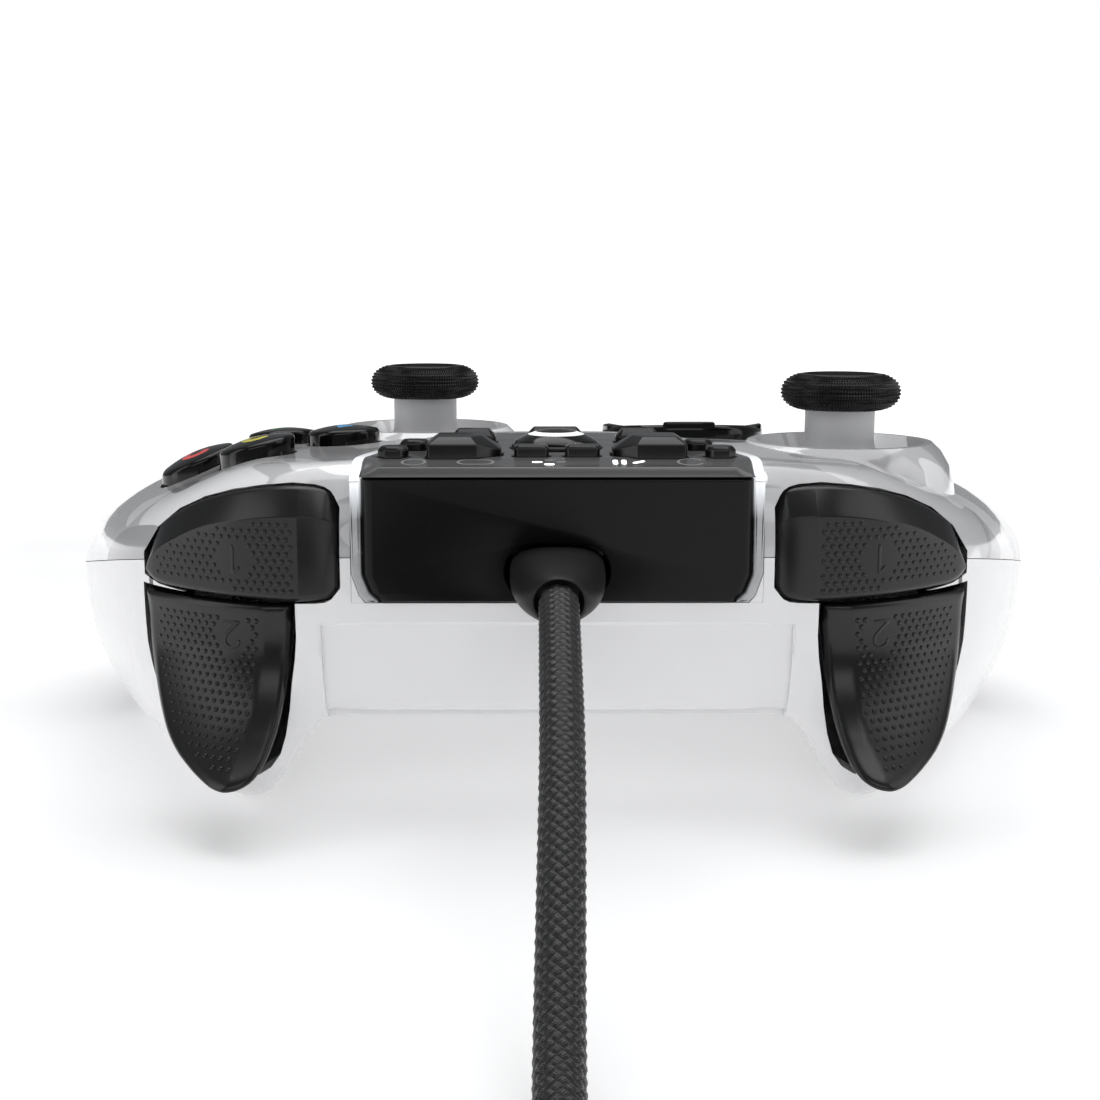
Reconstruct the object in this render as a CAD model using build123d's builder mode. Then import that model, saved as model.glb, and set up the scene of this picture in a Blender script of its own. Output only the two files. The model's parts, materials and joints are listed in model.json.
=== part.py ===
from build123d import *
import math
import os

import numpy as np

os.makedirs("parts", exist_ok=True)

# ---------------------------------------------------------------- driving dimensions (mm)
# Row frame: +X to the player's left, -Y to the shoulder side, +Z out of the face.
WALL = 2.4                      # shell wall
GRIP_T = 1.4                    # side grip thickness
PART_Z, PART_SLOPE = 28.9, 0.19  # parting plane z = PART_Z - PART_SLOPE * y
DASH_Z = 49.3                   # top of the control panel
DASH_T = 2.0
COVER_Y = -43.8                 # outer face of the front cover
COVER_HALF = 24.9
STRIP_W = 1.3                   # light strip width
STICK_L = (41.8, -9.8)
STICK_R = (-20.8, 14.1)
DPAD_C = (20.8, 14.1)
DPAD_R = 13.3
PIVOT_Z = 35.0                  # stick pivot height
CAP_R = 8.7
CAP_Z0, CAP_Z1 = 52.7, 58.5
STEM_R = 5.05
SKIRT_R = 13.3                  # sphere radius of the stick skirt
OPEN_R = 10.5                   # throat of a stick collar
COLLAR_R = 13.4
COLLAR_Z = 48.7
FACE_C = (-41.8, -9.8)
FACE_SP = 10.8
FACE_R = 5.2
FACE_TRAVEL = 1.2
PAD_TRAVEL = 0.5                # travel of the panel buttons
BOARD_Z0, BOARD_Z1 = 26.4, 28.0
UPPER_Z0, UPPER_Z1 = 37.0, 38.2
TRIG_Y, TRIG_Z = -29.5, 27.0    # trigger pivot
TRIG_PIN_R = 1.5
BUMP_PIN = (29.2, -41.0)        # bumper pivot
MOTOR_X, MOTOR_Z = 59.5, 16.6
JACK_Z = 19.7
CORD_D = 4.7
COIL_C = (-36.0, -182.0)
COIL_MID_R = 28.0
COIL_W, COIL_H = 19.0, 19.4
CORD_LENGTH = 3000.0

# plan outline of the right half, from the shoulder edge round to the player edge
CTRL = [(0, -43.2), (14, -43.2), (27, -43.2), (36.5, -42.2), (44, -39.6), (50.5, -35.4), (56, -30),
        (61.5, -22.5), (67, -12), (72, -1), (76, 9.5), (78, 19), (77.8, 28), (76, 37), (73, 45),
        (67.5, 51.9), (60, 52.9), (53.5, 49.8), (48, 45.2), (42.5, 40), (36, 36), (26, 33.6), (13, 32.4),
        (0, 32.2)]


def closed_outline(ctrl, n):
    pts = np.array(ctrl + [(-x, y) for x, y in ctrl[-2:0:-1]], float)
    count = len(pts)
    out = []
    for i in range(count):
        p = [pts[(i + k) % count] for k in (-1, 0, 1, 2)]
        for k in range(n):
            t = k / n
            b = ((1 - t) ** 3 / 6, (3 * t ** 3 - 6 * t ** 2 + 4) / 6,
                 (-3 * t ** 3 + 3 * t ** 2 + 3 * t + 1) / 6, t ** 3 / 6)
            out.append(sum(b[j] * p[j] for j in range(4)))
    return np.array(out)


OUTLINE = closed_outline(CTRL, 10)


def smooth(t):
    t = np.clip(t, 0, 1)
    return t * t * (3 - 2 * t)


def edge_distance(x, y):
    """distance from the plan outline, positive inside"""
    x = np.atleast_1d(np.asarray(x, float))
    y = np.atleast_1d(np.asarray(y, float))
    x, y = np.broadcast_arrays(x, y)
    a = OUTLINE
    b = np.roll(OUTLINE, -1, 0)
    e = b - a
    rx = x[:, None] - a[None, :, 0]
    ry = y[:, None] - a[None, :, 1]
    t = np.clip((rx * e[:, 0] + ry * e[:, 1]) / (e ** 2).sum(1), 0, 1)
    d = np.hypot(rx - t * e[:, 0], ry - t * e[:, 1]).min(1)
    cross = e[:, 0] * ry - e[:, 1] * rx
    up = (a[:, 1] <= y[:, None]) & (b[:, 1] > y[:, None]) & (cross > 0)
    down = (a[:, 1] > y[:, None]) & (b[:, 1] <= y[:, None]) & (cross < 0)
    wind = up.sum(1) - down.sum(1)
    return np.where(wind != 0, d, -d)


def soft_distance(x, y):
    """like edge_distance, with the ridges in the middle smoothed out"""
    x = np.atleast_1d(np.asarray(x, float))
    y = np.atleast_1d(np.asarray(y, float))
    x, y = np.broadcast_arrays(x, y)
    d = edge_distance(x, y)
    a = OUTLINE
    b = np.roll(OUTLINE, -1, 0)
    m = (a + b) / 2
    e = b - a
    rx = m[None, :, 0] - x[:, None]
    ry = m[None, :, 1] - y[:, None]
    psi = ((rx * e[:, 1] - ry * e[:, 0]) / (rx * rx + ry * ry + 1e-9) ** 2.5).sum(1)
    phi = np.where(psi > 1e-12, (4 / 3 / np.maximum(psi, 1e-12)) ** (1 / 3), 0)
    w = smooth((d - 2.5) / 3.5)
    return np.where(d < 2.5, d, d * (1 - w) + phi * w)


def parting(y):
    return PART_Z - PART_SLOPE * y


def crown(x, y):
    fall = np.where(y > -15, 0.0035 * (y + 15) ** 2, 0)
    flat = np.where(y > 10, 0.0035 * 625 + 0.16 * (y - 10), fall)
    k = smooth((np.abs(x) - 35) / 20)
    return 49.2 - 0.0008 * x * x - flat * (1 - k) - fall * k


def keel(x, y):
    k = smooth((np.abs(x) - 29.0) / 14.0)
    low = -1.2 + 1.8 * np.exp(-((y - 6) / 15.0) ** 2)
    return 14.6 * (1 - k) + low * k


def round_up(x, y):
    side = 7 + 21 * smooth((y + 42) / 30)
    mid = 7 + 1.5 * smooth((y + 30) / 35)
    k = smooth((np.abs(x) - 28) / 24)
    return mid * (1 - k) + side * k


def round_down(x, y):
    side = 11 + 11 * smooth((y + 40) / 25)
    k = smooth((np.abs(x) - 24) / 18)
    return 7 * (1 - k) + side * k


def top_z(x, y, w=0.0):
    s = np.clip(1 - (soft_distance(x, y) - w) / (round_up(x, y) - 0.4 * w), 0, 1)
    z0 = parting(y)
    return z0 + np.maximum(crown(x, y) - w - z0, 0) * np.sqrt(np.maximum(1 - s ** 2, 0))


def bottom_z(x, y, w=0.0):
    s = np.clip(1 - (soft_distance(x, y) - w) / (round_down(x, y) - 0.4 * w), 0, 1)
    z0 = parting(y)
    return z0 - (z0 - keel(x, y) - w) * np.maximum(1 - s ** 2.5, 0) ** 0.4


def y_range(x, w):
    """the plan's extent in y at one x, inside a wall of w"""
    ys = np.linspace(-46, 57, 1031)
    d = edge_distance(np.full(ys.shape, float(x)), ys) - w
    inside = np.nonzero(d > 0)[0]
    lo, hi = inside[0], inside[-1]
    y0 = ys[lo - 1] + (ys[lo] - ys[lo - 1]) * (-d[lo - 1]) / (d[lo] - d[lo - 1])
    y1 = ys[hi] + (ys[hi + 1] - ys[hi]) * d[hi] / (d[hi] - d[hi + 1])
    return float(y0), float(y1)


def section_points(x, upper, w, n=22):
    y0, y1 = y_range(x, w)
    ym, yh = (y0 + y1) / 2, (y1 - y0) / 2
    ys = ym - yh * np.cos(np.pi * np.arange(n + 1) / n)
    zs = (top_z if upper else bottom_z)(np.full(ys.shape, float(x)), ys, w)
    zs[0], zs[-1] = parting(ys[0]), parting(ys[-1])
    return [(float(a), float(b)) for a, b in zip(ys, zs)]


HALF_STATIONS = [0, 7, 14, 20, 24.5, 28, 31, 34, 37, 40, 43.5, 47.5, 52, 56.5, 61, 65, 68.5, 71.5, 74, 75.8, 76.9]


def stations(w):
    half = [s - w * (s / 77.4) ** 3 for s in HALF_STATIONS + [77.4]]
    return [-s for s in half[:0:-1]] + half


# ---------------------------------------------------------------- outer and inner forms of the housing
forms = {}
for name_, upper_, w_ in (("top_out", True, 0.0), ("top_in", True, WALL), ("top_grip", True, GRIP_T), ("top_recess", True, GRIP_T + 0.1),
                          ("low_out", False, 0.0), ("low_in", False, WALL), ("low_grip", False, GRIP_T), ("low_recess", False, GRIP_T + 0.1),
                          ("low_dent", False, 0.7)):
    with BuildPart() as form:
        for x_ in stations(w_):
            pts_ = section_points(x_, upper_, w_)
            with BuildSketch(Plane.YZ.offset(x_)):
                with BuildLine():
                    # the same parameters in every section keep the lofted face light
                    add(Edge.make_spline([Vector(*p) for p in pts_], parameters=[k / (len(pts_) - 1) for k in range(len(pts_))]))
                    if w_ > 0:
                        # inner forms run a little past the parting plane
                        d_ = -2.0 if upper_ else 2.0
                        Polyline(pts_[-1], (pts_[-1][0], pts_[-1][1] + d_), (pts_[0][0], pts_[0][1] + d_), pts_[0])
                    else:
                        Line(pts_[-1], pts_[0])
                make_face()
        loft()
    forms[name_] = form.part

# ---------------------------------------------------------------- bumper and trigger stations (positive x side)
# x, front y, bottom z, crease z, top z
BUMPER = [(28.0, -43.6, 33.5, 40.5, 43.3), (28.35, -43.7, 32.6, 41.1, 44.3), (28.9, -43.8, 31.95, 41.6, 45.0),
          (29.7, -43.8, 31.55, 42.0, 45.45), (31.0, -43.75, 31.4, 42.3, 45.75), (34.0, -43.3, 31.3, 42.4, 45.9),
          (38.0, -42.2, 31.4, 42.1, 45.5), (42.0, -40.7, 31.5, 41.4, 44.8), (46.0, -38.6, 31.6, 40.4, 43.6),
          (50.0, -36.2, 31.8, 38.6, 41.7), (53.4, -33.7, 32.1, 36.4, 39.0), (55.4, -32.0, 32.9, 34.2, 35.4)]


def bumper_profile(x, yf, zb, zc, zt, grow=0.0, depth=5.0):
    """closed profile in y, z: bottom front, crease, top back, back"""
    g = grow
    return [(yf - g, zb - g), (yf - g, zc), (yf + 2.6, zt + g), (yf + depth, zt + g), (yf + depth, zb - g)]


# x, bottom z of the trigger's face
TRIGGER = [(34.3, 27.6), (34.6, 25.0), (35.1, 21.2), (35.6, 17.4), (36.3, 13.8), (37.2, 11.3), (38.4, 9.7), (39.8, 8.95),
           (41.3, 8.65), (43.3, 8.8), (45.6, 9.6), (47.5, 10.5), (49.4, 11.6), (51.5, 13.5), (52.8, 15.4), (53.9, 17.6),
           (54.8, 20.1), (55.4, 22.6), (55.75, 25.4)]
TRIG_TOP = 30.6


def trigger_y(x, z):
    """front of the trigger's face, concave under the top edge and hooked outward at the tip"""
    f = (TRIG_TOP - z) / 22.2
    return -42.9 + 15 * max(0.0, (x - 28) / 31) ** 2 + 2.6 * math.sin(math.pi * min(max(f, 0), 1)) - 12.33 * max(f, 0) ** 1.9


def trigger_front(x, zb, n=10):
    return [(trigger_y(x, TRIG_TOP - i / n * (TRIG_TOP - zb)), TRIG_TOP - i / n * (TRIG_TOP - zb)) for i in range(n + 1)]


with BuildPart() as bumper_zone:                    # room for a bumper and its travel
    for st in BUMPER[:1] + BUMPER[1:]:
        x_ = st[0] - 0.35 if st is BUMPER[0] else (st[0] + 0.5 if st is BUMPER[-1] else st[0])
        with BuildSketch(Plane.YZ.offset(x_)):
            with BuildLine():
                pr = bumper_profile(*st, grow=0.35, depth=5.0)
                Polyline((pr[0][0] - 3, pr[0][1]), (pr[0][0] - 3, pr[2][1] - 2.2), pr[2], (pr[3][0] + 2.0, pr[3][1]),
                         (pr[4][0] + 2.0, pr[4][1]), (pr[0][0] - 3, pr[0][1]))
            make_face()
    loft(ruled=True)

with BuildPart() as trigger_zone:                   # front opening for a trigger
    with BuildSketch(Plane.XZ.offset(60)):
        with BuildLine():
            Polyline((33.6, 31.4), (33.6, 26.5), (33.9, 23.5), (34.5, 20.0), (35.0, 16.4), (35.8, 12.6), (36.8, 9.6), (38.2, 7.6),
                     (40.0, 6.4), (43.5, 6.0), (47.0, 6.4), (50.0, 8.4), (52.2, 10.9), (53.6, 13.6), (54.8, 16.9), (55.6, 20.0),
                     (56.1, 23.0), (56.2, 27.0), (56.2, 31.4), (33.6, 31.4))
        make_face()
    extrude(amount=-36)                             # to y = -24

# light strip and panel outlines, right half, shoulder side first
PANEL = [(COVER_HALF, -43.75), (COVER_HALF, -37), (21, -20), (15.5, -8.5), (8, -3.5)]


def both_sides(half):
    return half + [(-x, y) for x, y in reversed(half)]


def grown(half, d):
    """offset the half outline outward, keeping the shoulder edge"""
    out = []
    for i, (x, y) in enumerate(half):
        n = np.zeros(2)
        for j in (i - 1, i):
            if 0 <= j < len(half) - 1:
                e = np.array(half[j + 1]) - np.array(half[j])
                e = e / np.linalg.norm(e)
                n += np.array([e[1], -e[0]])
        if i == len(half) - 1:
            n += np.array([0, 1.0])
        n = n / np.linalg.norm(n)
        e0 = np.array(half[min(i + 1, len(half) - 1)]) - np.array(half[min(i, len(half) - 2)])
        e0 = e0 / np.linalg.norm(e0)
        k = d / max(0.6, float(n @ np.array([e0[1], -e0[0]])))
        out.append((float(x + n[0] * k), float(y + n[1] * k) if i else y))
    return out


PANEL_WIDE = grown(PANEL, STRIP_W)
PANEL_HOLE = grown(PANEL, STRIP_W + 0.1)

GRIP_SIDE = [(11.5, 36.0), (9.2, 29.0), (8.6, 21.0), (10.5, 12.0), (15.0, 5.5), (22.0, 3.2), (48.0, 3.6), (60, 4.5),
             (60, 25.0), (52, 30.5), (36, 34.5), (22, 37.0), (11.5, 36.0)]
with BuildPart() as grip_zone:                      # side view of the grip on the flank of a handle
    with BuildSketch(Plane.YZ.offset(60)):
        with BuildLine():
            Polyline(*GRIP_SIDE)
        make_face()
    extrude(amount=25)

with BuildPart() as grip_recess:                    # the seat that the grip is set into
    with BuildSketch(Plane.YZ.offset(59.9)):
        with BuildLine():
            Polyline(*GRIP_SIDE)
        make_face()
        offset(amount=0.1, kind=Kind.INTERSECTION)
    extrude(amount=25)
    add(forms["top_recess"], mode=Mode.SUBTRACT)
    add(forms["low_recess"], mode=Mode.SUBTRACT)

SCREWS = [(57.0, 43.5), (-57.0, 43.5), (27.5, -26.0), (-27.5, -26.0)]
STANDOFFS = [(22.0, -36.5), (-22.0, -36.5), (2.0, 3.0), (-50.0, 2.0)]

# ---------------------------------------------------------------- panel buttons: name, centre, size
HEX_BIG = [("left_large_button", 12.05, -34.0), ("right_large_button", -12.05, -34.0)]
HEX_SMALL = [("left_front_small_button", 21.2, -36.6), ("right_front_small_button", -21.2, -36.6),
             ("left_rear_small_button", 19.1, -28.1), ("right_rear_small_button", -19.1, -28.1)]
MODES = [("mode_button", -3.3, -36.0), ("select_button", 3.3, -36.0)]
VIEWS = [("menu_button", -11.6, -18.0), ("view_button", 11.6, -18.0)]
SHARE = ("share_button", 0.0, -10.0)
GUIDE = ("guide_button", 0.0, -25.0)


def hexagon(w, d, cut):
    """hexagonal outline, w wide and d deep, points to the left and right cut by cut"""
    return [(-w / 2, -d / 2 + cut), (-w / 2 + cut, -d / 2), (w / 2 - cut, -d / 2), (w / 2, -d / 2 + cut),
            (w / 2, d / 2 - cut), (w / 2 - cut, d / 2), (-w / 2 + cut, d / 2), (-w / 2, d / 2 - cut)]


BIG_OUT = [(-4.75, -2.0), (-1.6, -4.6), (4.4, -4.6), (4.75, -4.2), (4.75, 4.2), (4.4, 4.6), (-1.6, 4.6), (-4.75, 2.2)]
PANEL_BUTTONS = []          # name, centre, outline, top of the body, top height
for nm, cx, cy in HEX_BIG:
    o = [(px if cx > 0 else -px, py) for px, py in BIG_OUT]
    PANEL_BUTTONS.append((nm, (cx, cy), o if cx > 0 else o[::-1], 51.9))
for nm, cx, cy in HEX_SMALL:
    PANEL_BUTTONS.append((nm, (cx, cy), hexagon(3.9, 3.5, 1.0), 50.7))
for nm, cx, cy in MODES:
    PANEL_BUTTONS.append((nm, (cx, cy), hexagon(4.5, 3.2, 0.5), 50.8))
for nm, cx, cy in VIEWS:
    PANEL_BUTTONS.append((nm, (cx, cy), hexagon(6.3, 4.4, 0.8), 51.2))
PANEL_BUTTONS.append((SHARE[0], SHARE[1:], hexagon(8.2, 3.8, 0.8), 50.7))


def offset_outline(pts, d):
    """outline grown by d about its own edges (convex, counter-clockwise)"""
    p = [np.array(q, float) for q in pts]
    n = len(p)
    out = []
    for i in range(n):
        e0 = p[i] - p[i - 1]
        e1 = p[(i + 1) % n] - p[i]
        n0 = np.array([e0[1], -e0[0]]) / np.linalg.norm(e0)
        n1 = np.array([e1[1], -e1[0]]) / np.linalg.norm(e1)
        m = (n0 + n1) / (1 + float(n0 @ n1))
        out.append(tuple(float(v) for v in p[i] + m * d))
    return out


# ---------------------------------------------------------------- side grips
with BuildPart() as left_side_grip:
    add(forms["top_out"])
    add(forms["low_out"])
    add(grip_zone.part, mode=Mode.INTERSECT)
    add(forms["top_grip"], mode=Mode.SUBTRACT)
    add(forms["low_grip"], mode=Mode.SUBTRACT)
left_side_grip.part.label = "left_side_grip"
export_step(left_side_grip.part, "parts/left_side_grip.step")

with BuildPart() as right_side_grip:
    add(mirror(left_side_grip.part, about=Plane.YZ, mode=Mode.PRIVATE))
right_side_grip.part.label = "right_side_grip"
export_step(right_side_grip.part, "parts/right_side_grip.step")

# ---------------------------------------------------------------- top shell
with BuildPart() as top_shell:
    add(forms["top_out"])
    # stick collars stand up out of the face and flare into it
    for cx, cy in (STICK_L, STICK_R):
        with BuildSketch(Plane((cx, cy, 0), x_dir=(1, 0, 0), z_dir=(0, -1, 0))):
            with BuildLine():
                Polyline((0, 37), (17.4, 37), (16.6, 43.0), (15.9, 45.6), (14.6, 47.6), (COLLAR_R, COLLAR_Z), (0, COLLAR_Z), (0, 37))
            make_face()
        revolve(axis=Axis((cx, cy, 0), (0, 0, 1)))
    add(forms["top_in"], mode=Mode.SUBTRACT)
    for cx, cy in (STICK_L, STICK_R):
        # the collar's wall inside the housing
        with BuildSketch(Plane((cx, cy, 0), x_dir=(1, 0, 0), z_dir=(0, -1, 0))):
            with BuildLine():
                Polyline((0, PIVOT_Z), (16.4, PIVOT_Z), (16.4, 43.0), (15.6, 45.6), (14.2, 46.6), (0, 46.6), (0, PIVOT_Z))
            make_face()
        revolve(axis=Axis((cx, cy, 0), (0, 0, 1)))
    for cx, cy in (STICK_L, STICK_R):
        # throat, and room under it for the skirt of the stick
        with BuildSketch(Plane((cx, cy, 0), x_dir=(1, 0, 0), z_dir=(0, -1, 0))):
            with BuildLine():
                Polyline((0, 30), (14.2, 30), (14.2, PIVOT_Z + 2), (12.9, PIVOT_Z + 4.9), (11.8, PIVOT_Z + 7.2), (OPEN_R, PIVOT_Z + 9.0),
                         (OPEN_R, 46.4), (12.2, COLLAR_Z + 0.05), (12.2, 52), (0, 52), (0, 30))
            make_face()
        revolve(axis=Axis((cx, cy, 0), (0, 0, 1)), mode=Mode.SUBTRACT)
    # screw bosses
    for sx, sy in SCREWS:
        z0 = parting(sy) + 0.15
        z1 = float(top_z(sx, sy)[0]) - 1.2
        with Locations((sx, sy, z0)):
            Cylinder(2.8, z1 - z0, align=(Align.CENTER, Align.CENTER, Align.MIN))
            Cylinder(1.15, 7.0, align=(Align.CENTER, Align.CENTER, Align.MIN), mode=Mode.SUBTRACT)
    # pad opening
    with Locations((DPAD_C[0], DPAD_C[1], 36)):
        Cylinder(DPAD_R + 0.7, 20, align=(Align.CENTER, Align.CENTER, Align.MIN), mode=Mode.SUBTRACT)
    # face button openings
    with Locations((FACE_C[0], FACE_C[1], 36)):
        with PolarLocations(FACE_SP, 4):
            Cylinder(FACE_R + 0.3, 20, align=(Align.CENTER, Align.CENTER, Align.MIN), mode=Mode.SUBTRACT)
    # panel opening, open to the front
    with BuildSketch(Plane.XY.offset(42)):
        with BuildLine():
            hole_ = [(PANEL_HOLE[0][0], -50)] + PANEL_HOLE
            Polyline(*(both_sides(hole_) + [hole_[0]]))
        make_face()
    extrude(amount=12, mode=Mode.SUBTRACT)
    # front cover opening
    with Locations((0, -60, 30)):
        Box(2 * (COVER_HALF + STRIP_W + 0.1), 19.4, 30, align=(Align.CENTER, Align.MIN, Align.MIN), mode=Mode.SUBTRACT)
    add(bumper_zone.part, mode=Mode.SUBTRACT)
    add(mirror(bumper_zone.part, about=Plane.YZ, mode=Mode.PRIVATE), mode=Mode.SUBTRACT)
    add(trigger_zone.part, mode=Mode.SUBTRACT)
    add(mirror(trigger_zone.part, about=Plane.YZ, mode=Mode.PRIVATE), mode=Mode.SUBTRACT)
    add(grip_recess.part, mode=Mode.SUBTRACT)
    add(mirror(grip_recess.part, about=Plane.YZ, mode=Mode.PRIVATE), mode=Mode.SUBTRACT)
    split(bisect_by=Plane(origin=(0, 0, PART_Z + 0.05), x_dir=(1, 0, 0), z_dir=(0, PART_SLOPE, 1)), keep=Keep.TOP)
top_shell.part.label = "top_shell"
export_step(top_shell.part, "parts/top_shell.step")

# ---------------------------------------------------------------- rear shell
with BuildPart() as front_dent:                     # shallow recess across the front, under the cover
    with BuildSketch(Plane.XY.offset(8)):
        with BuildLine():
            Polyline((-31.6, -50), (31.6, -50), (31.6, -43.3), (30.4, -42.1), (30.4, -36), (-30.4, -36), (-30.4, -42.1), (-31.6, -43.3),
                     (-31.6, -50))
        make_face()
    extrude(amount=22)
    with BuildSketch(Plane.YZ.offset(-40)):
        with BuildLine():
            Polyline((-51, 28.9), (-43.3, 28.9), (-42.1, 28.1), (-35, 28.1), (-35, 9), (-51, 9), (-51, 28.9))
        make_face()
    extrude(amount=80, mode=Mode.INTERSECT)
    add(forms["low_dent"], mode=Mode.SUBTRACT)

with BuildPart() as rear_shell:
    add(forms["low_out"])
    add(front_dent.part, mode=Mode.SUBTRACT)
    add(forms["low_in"], mode=Mode.SUBTRACT)
    for sx, sy in SCREWS:
        z0 = float(bottom_z(sx, sy)[0]) + 0.9
        with Locations((sx, sy, z0)):
            Cylinder(3.6, parting(sy) - 0.15 - z0, align=(Align.CENTER, Align.CENTER, Align.MIN))
        with Locations((sx, sy, z0 - 6)):
            Cylinder(2.65, 10.0, align=(Align.CENTER, Align.CENTER, Align.MIN), mode=Mode.SUBTRACT)
            Cylinder(1.55, 40, align=(Align.CENTER, Align.CENTER, Align.MIN), mode=Mode.SUBTRACT)
    # cradles under the motors
    for side in (1, -1):
        for my in (25.0, 33.5):
            with Locations((side * MOTOR_X, my, 1.4)):
                Box(9, 2, 11, align=(Align.CENTER, Align.CENTER, Align.MIN))
        with Locations(Location((side * MOTOR_X, 29.0, MOTOR_Z), (90, 0, 0))):
            Cylinder(6.55, 30, mode=Mode.SUBTRACT)
    # feet are flat where the housing rests
    Box(200, 200, 10, align=(Align.CENTER, Align.CENTER, Align.MAX), mode=Mode.SUBTRACT)
    with Locations((0, -60, 31.2)):
        Box(2 * (COVER_HALF + STRIP_W + 0.1), 19.4, 30, align=(Align.CENTER, Align.MIN, Align.MIN), mode=Mode.SUBTRACT)
    add(bumper_zone.part, mode=Mode.SUBTRACT)
    add(mirror(bumper_zone.part, about=Plane.YZ, mode=Mode.PRIVATE), mode=Mode.SUBTRACT)
    add(trigger_zone.part, mode=Mode.SUBTRACT)
    add(mirror(trigger_zone.part, about=Plane.YZ, mode=Mode.PRIVATE), mode=Mode.SUBTRACT)
    # bumper pivots
    for side in (1, -1):
        with Locations((side * BUMP_PIN[0], BUMP_PIN[1], 28.6)):
            Cylinder(1.0, 6, align=(Align.CENTER, Align.CENTER, Align.MIN), mode=Mode.SUBTRACT)
    # headset jack opening
    with Locations(Location((0, 30, JACK_Z), (90, 0, 0))):
        Cylinder(3.1, 16, mode=Mode.SUBTRACT)
    add(grip_recess.part, mode=Mode.SUBTRACT)
    add(mirror(grip_recess.part, about=Plane.YZ, mode=Mode.PRIVATE), mode=Mode.SUBTRACT)
    split(bisect_by=Plane(origin=(0, 0, PART_Z - 0.05), x_dir=(1, 0, 0), z_dir=(0, PART_SLOPE, 1)), keep=Keep.BOTTOM)
rear_shell.part.label = "rear_shell"
export_step(rear_shell.part, "parts/rear_shell.step")

# ---------------------------------------------------------------- front cover, panel and light strips
with BuildPart() as front_cover:
    with BuildSketch(Plane.XZ.offset(-COVER_Y)):
        with BuildLine():
            c_ = [(COVER_HALF, 47.4), (COVER_HALF, 34.9), (24.0, 32.6), (22.6, 31.3)]
            Polyline(*(c_ + [(-x, z) for x, z in reversed(c_)] + [c_[0]]))
        make_face()
    extrude(amount=-2.2)
    side_edges = front_cover.edges().filter_by(Axis.Z).group_by(Axis.Y)[0]
    fillet(side_edges, 1.6)
    # recess for the cable plug
    with BuildSketch(Plane.XZ.offset(45)):
        with Locations((0, 35.4)):
            SlotOverall(13.4, 7.0)
    extrude(amount=-6, mode=Mode.SUBTRACT)
front_cover.part.label = "front_cover"
export_step(front_cover.part, "parts/front_cover.step")

with BuildPart() as dash_panel:
    with BuildSketch(Plane.XY.offset(47.5)):
        with BuildLine():
            Polyline(*(both_sides(PANEL) + [PANEL[0]]))
        make_face()
    extrude(amount=DASH_Z - 47.5)
    # bevel down to the front cover
    with BuildSketch(Plane.YZ.offset(-30)):
        with BuildLine():
            Polyline((-45, 47.3), (-43.9, 47.3), (-42.6, DASH_Z), (-42.6, 50), (-45, 50), (-45, 47.3))
        make_face()
    extrude(amount=60, mode=Mode.SUBTRACT)
    for nm, (cx, cy), o, zt in PANEL_BUTTONS:
        g = offset_outline(o, 0.25)
        g = [(cx + px, cy + py) for px, py in g]
        with BuildSketch(Plane.XY.offset(45)):
            with BuildLine():
                Polyline(*(g + [g[0]]))
            make_face()
        extrude(amount=10, mode=Mode.SUBTRACT)
    with Locations((GUIDE[1], GUIDE[2], 45)):
        Cylinder(6.15 + 0.25, 10, align=(Align.CENTER, Align.CENTER, Align.MIN), mode=Mode.SUBTRACT)
dash_panel.part.label = "dash_panel"
export_step(dash_panel.part, "parts/dash_panel.step")

with BuildPart() as light_guide:
    strip = PANEL + list(reversed(PANEL_WIDE))
    with BuildSketch(Plane.XY.offset(47.0)):
        with BuildLine():
            Polyline(*(strip + [strip[0]]))
        make_face()
    extrude(amount=DASH_Z + 0.05 - 47.0)
    with BuildSketch(Plane.XZ.offset(-COVER_Y)):
        with BuildLine():
            Polyline((COVER_HALF, 47.0), (COVER_HALF, 34.9), (24.0, 32.6), (22.6, 31.3), (24.4, 31.3), (25.2, 32.2),
                     (COVER_HALF + STRIP_W, 35.0), (COVER_HALF + STRIP_W, 47.0), (COVER_HALF, 47.0))
        make_face()
    extrude(amount=-2.2)
    mirror(about=Plane.YZ)
light_guide.part.label = "light_guide"
export_step(light_guide.part, "parts/light_guide.step")

# ---------------------------------------------------------------- panel buttons
buttons = {}
for nm, (cx, cy), o, zt in PANEL_BUTTONS:
    with BuildPart() as panel_button:
        with BuildSketch(Plane.XY.offset(47.1)):
            with BuildLine():
                pts_ = [(cx + px, cy + py) for px, py in o]
                Polyline(*(pts_ + [pts_[0]]))
            make_face()
        extrude(amount=zt - 47.1)
        chamfer(panel_button.edges().group_by(Axis.Z)[-1], 0.35)
        # flange that holds it under the panel
        with BuildSketch(Plane.XY.offset(46.0)):
            with BuildLine():
                fl_ = [(cx + px, cy + py) for px, py in offset_outline(o, 0.3)]
                Polyline(*(fl_ + [fl_[0]]))
            make_face()
        extrude(amount=1.1)
        with Locations((cx, cy, 39.9)):
            Cylinder(1.3, 6.2, align=(Align.CENTER, Align.CENTER, Align.MIN))
    panel_button.part.label = nm
    export_step(panel_button.part, f"parts/{nm}.step")
    buttons[nm] = (cx, cy)

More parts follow.
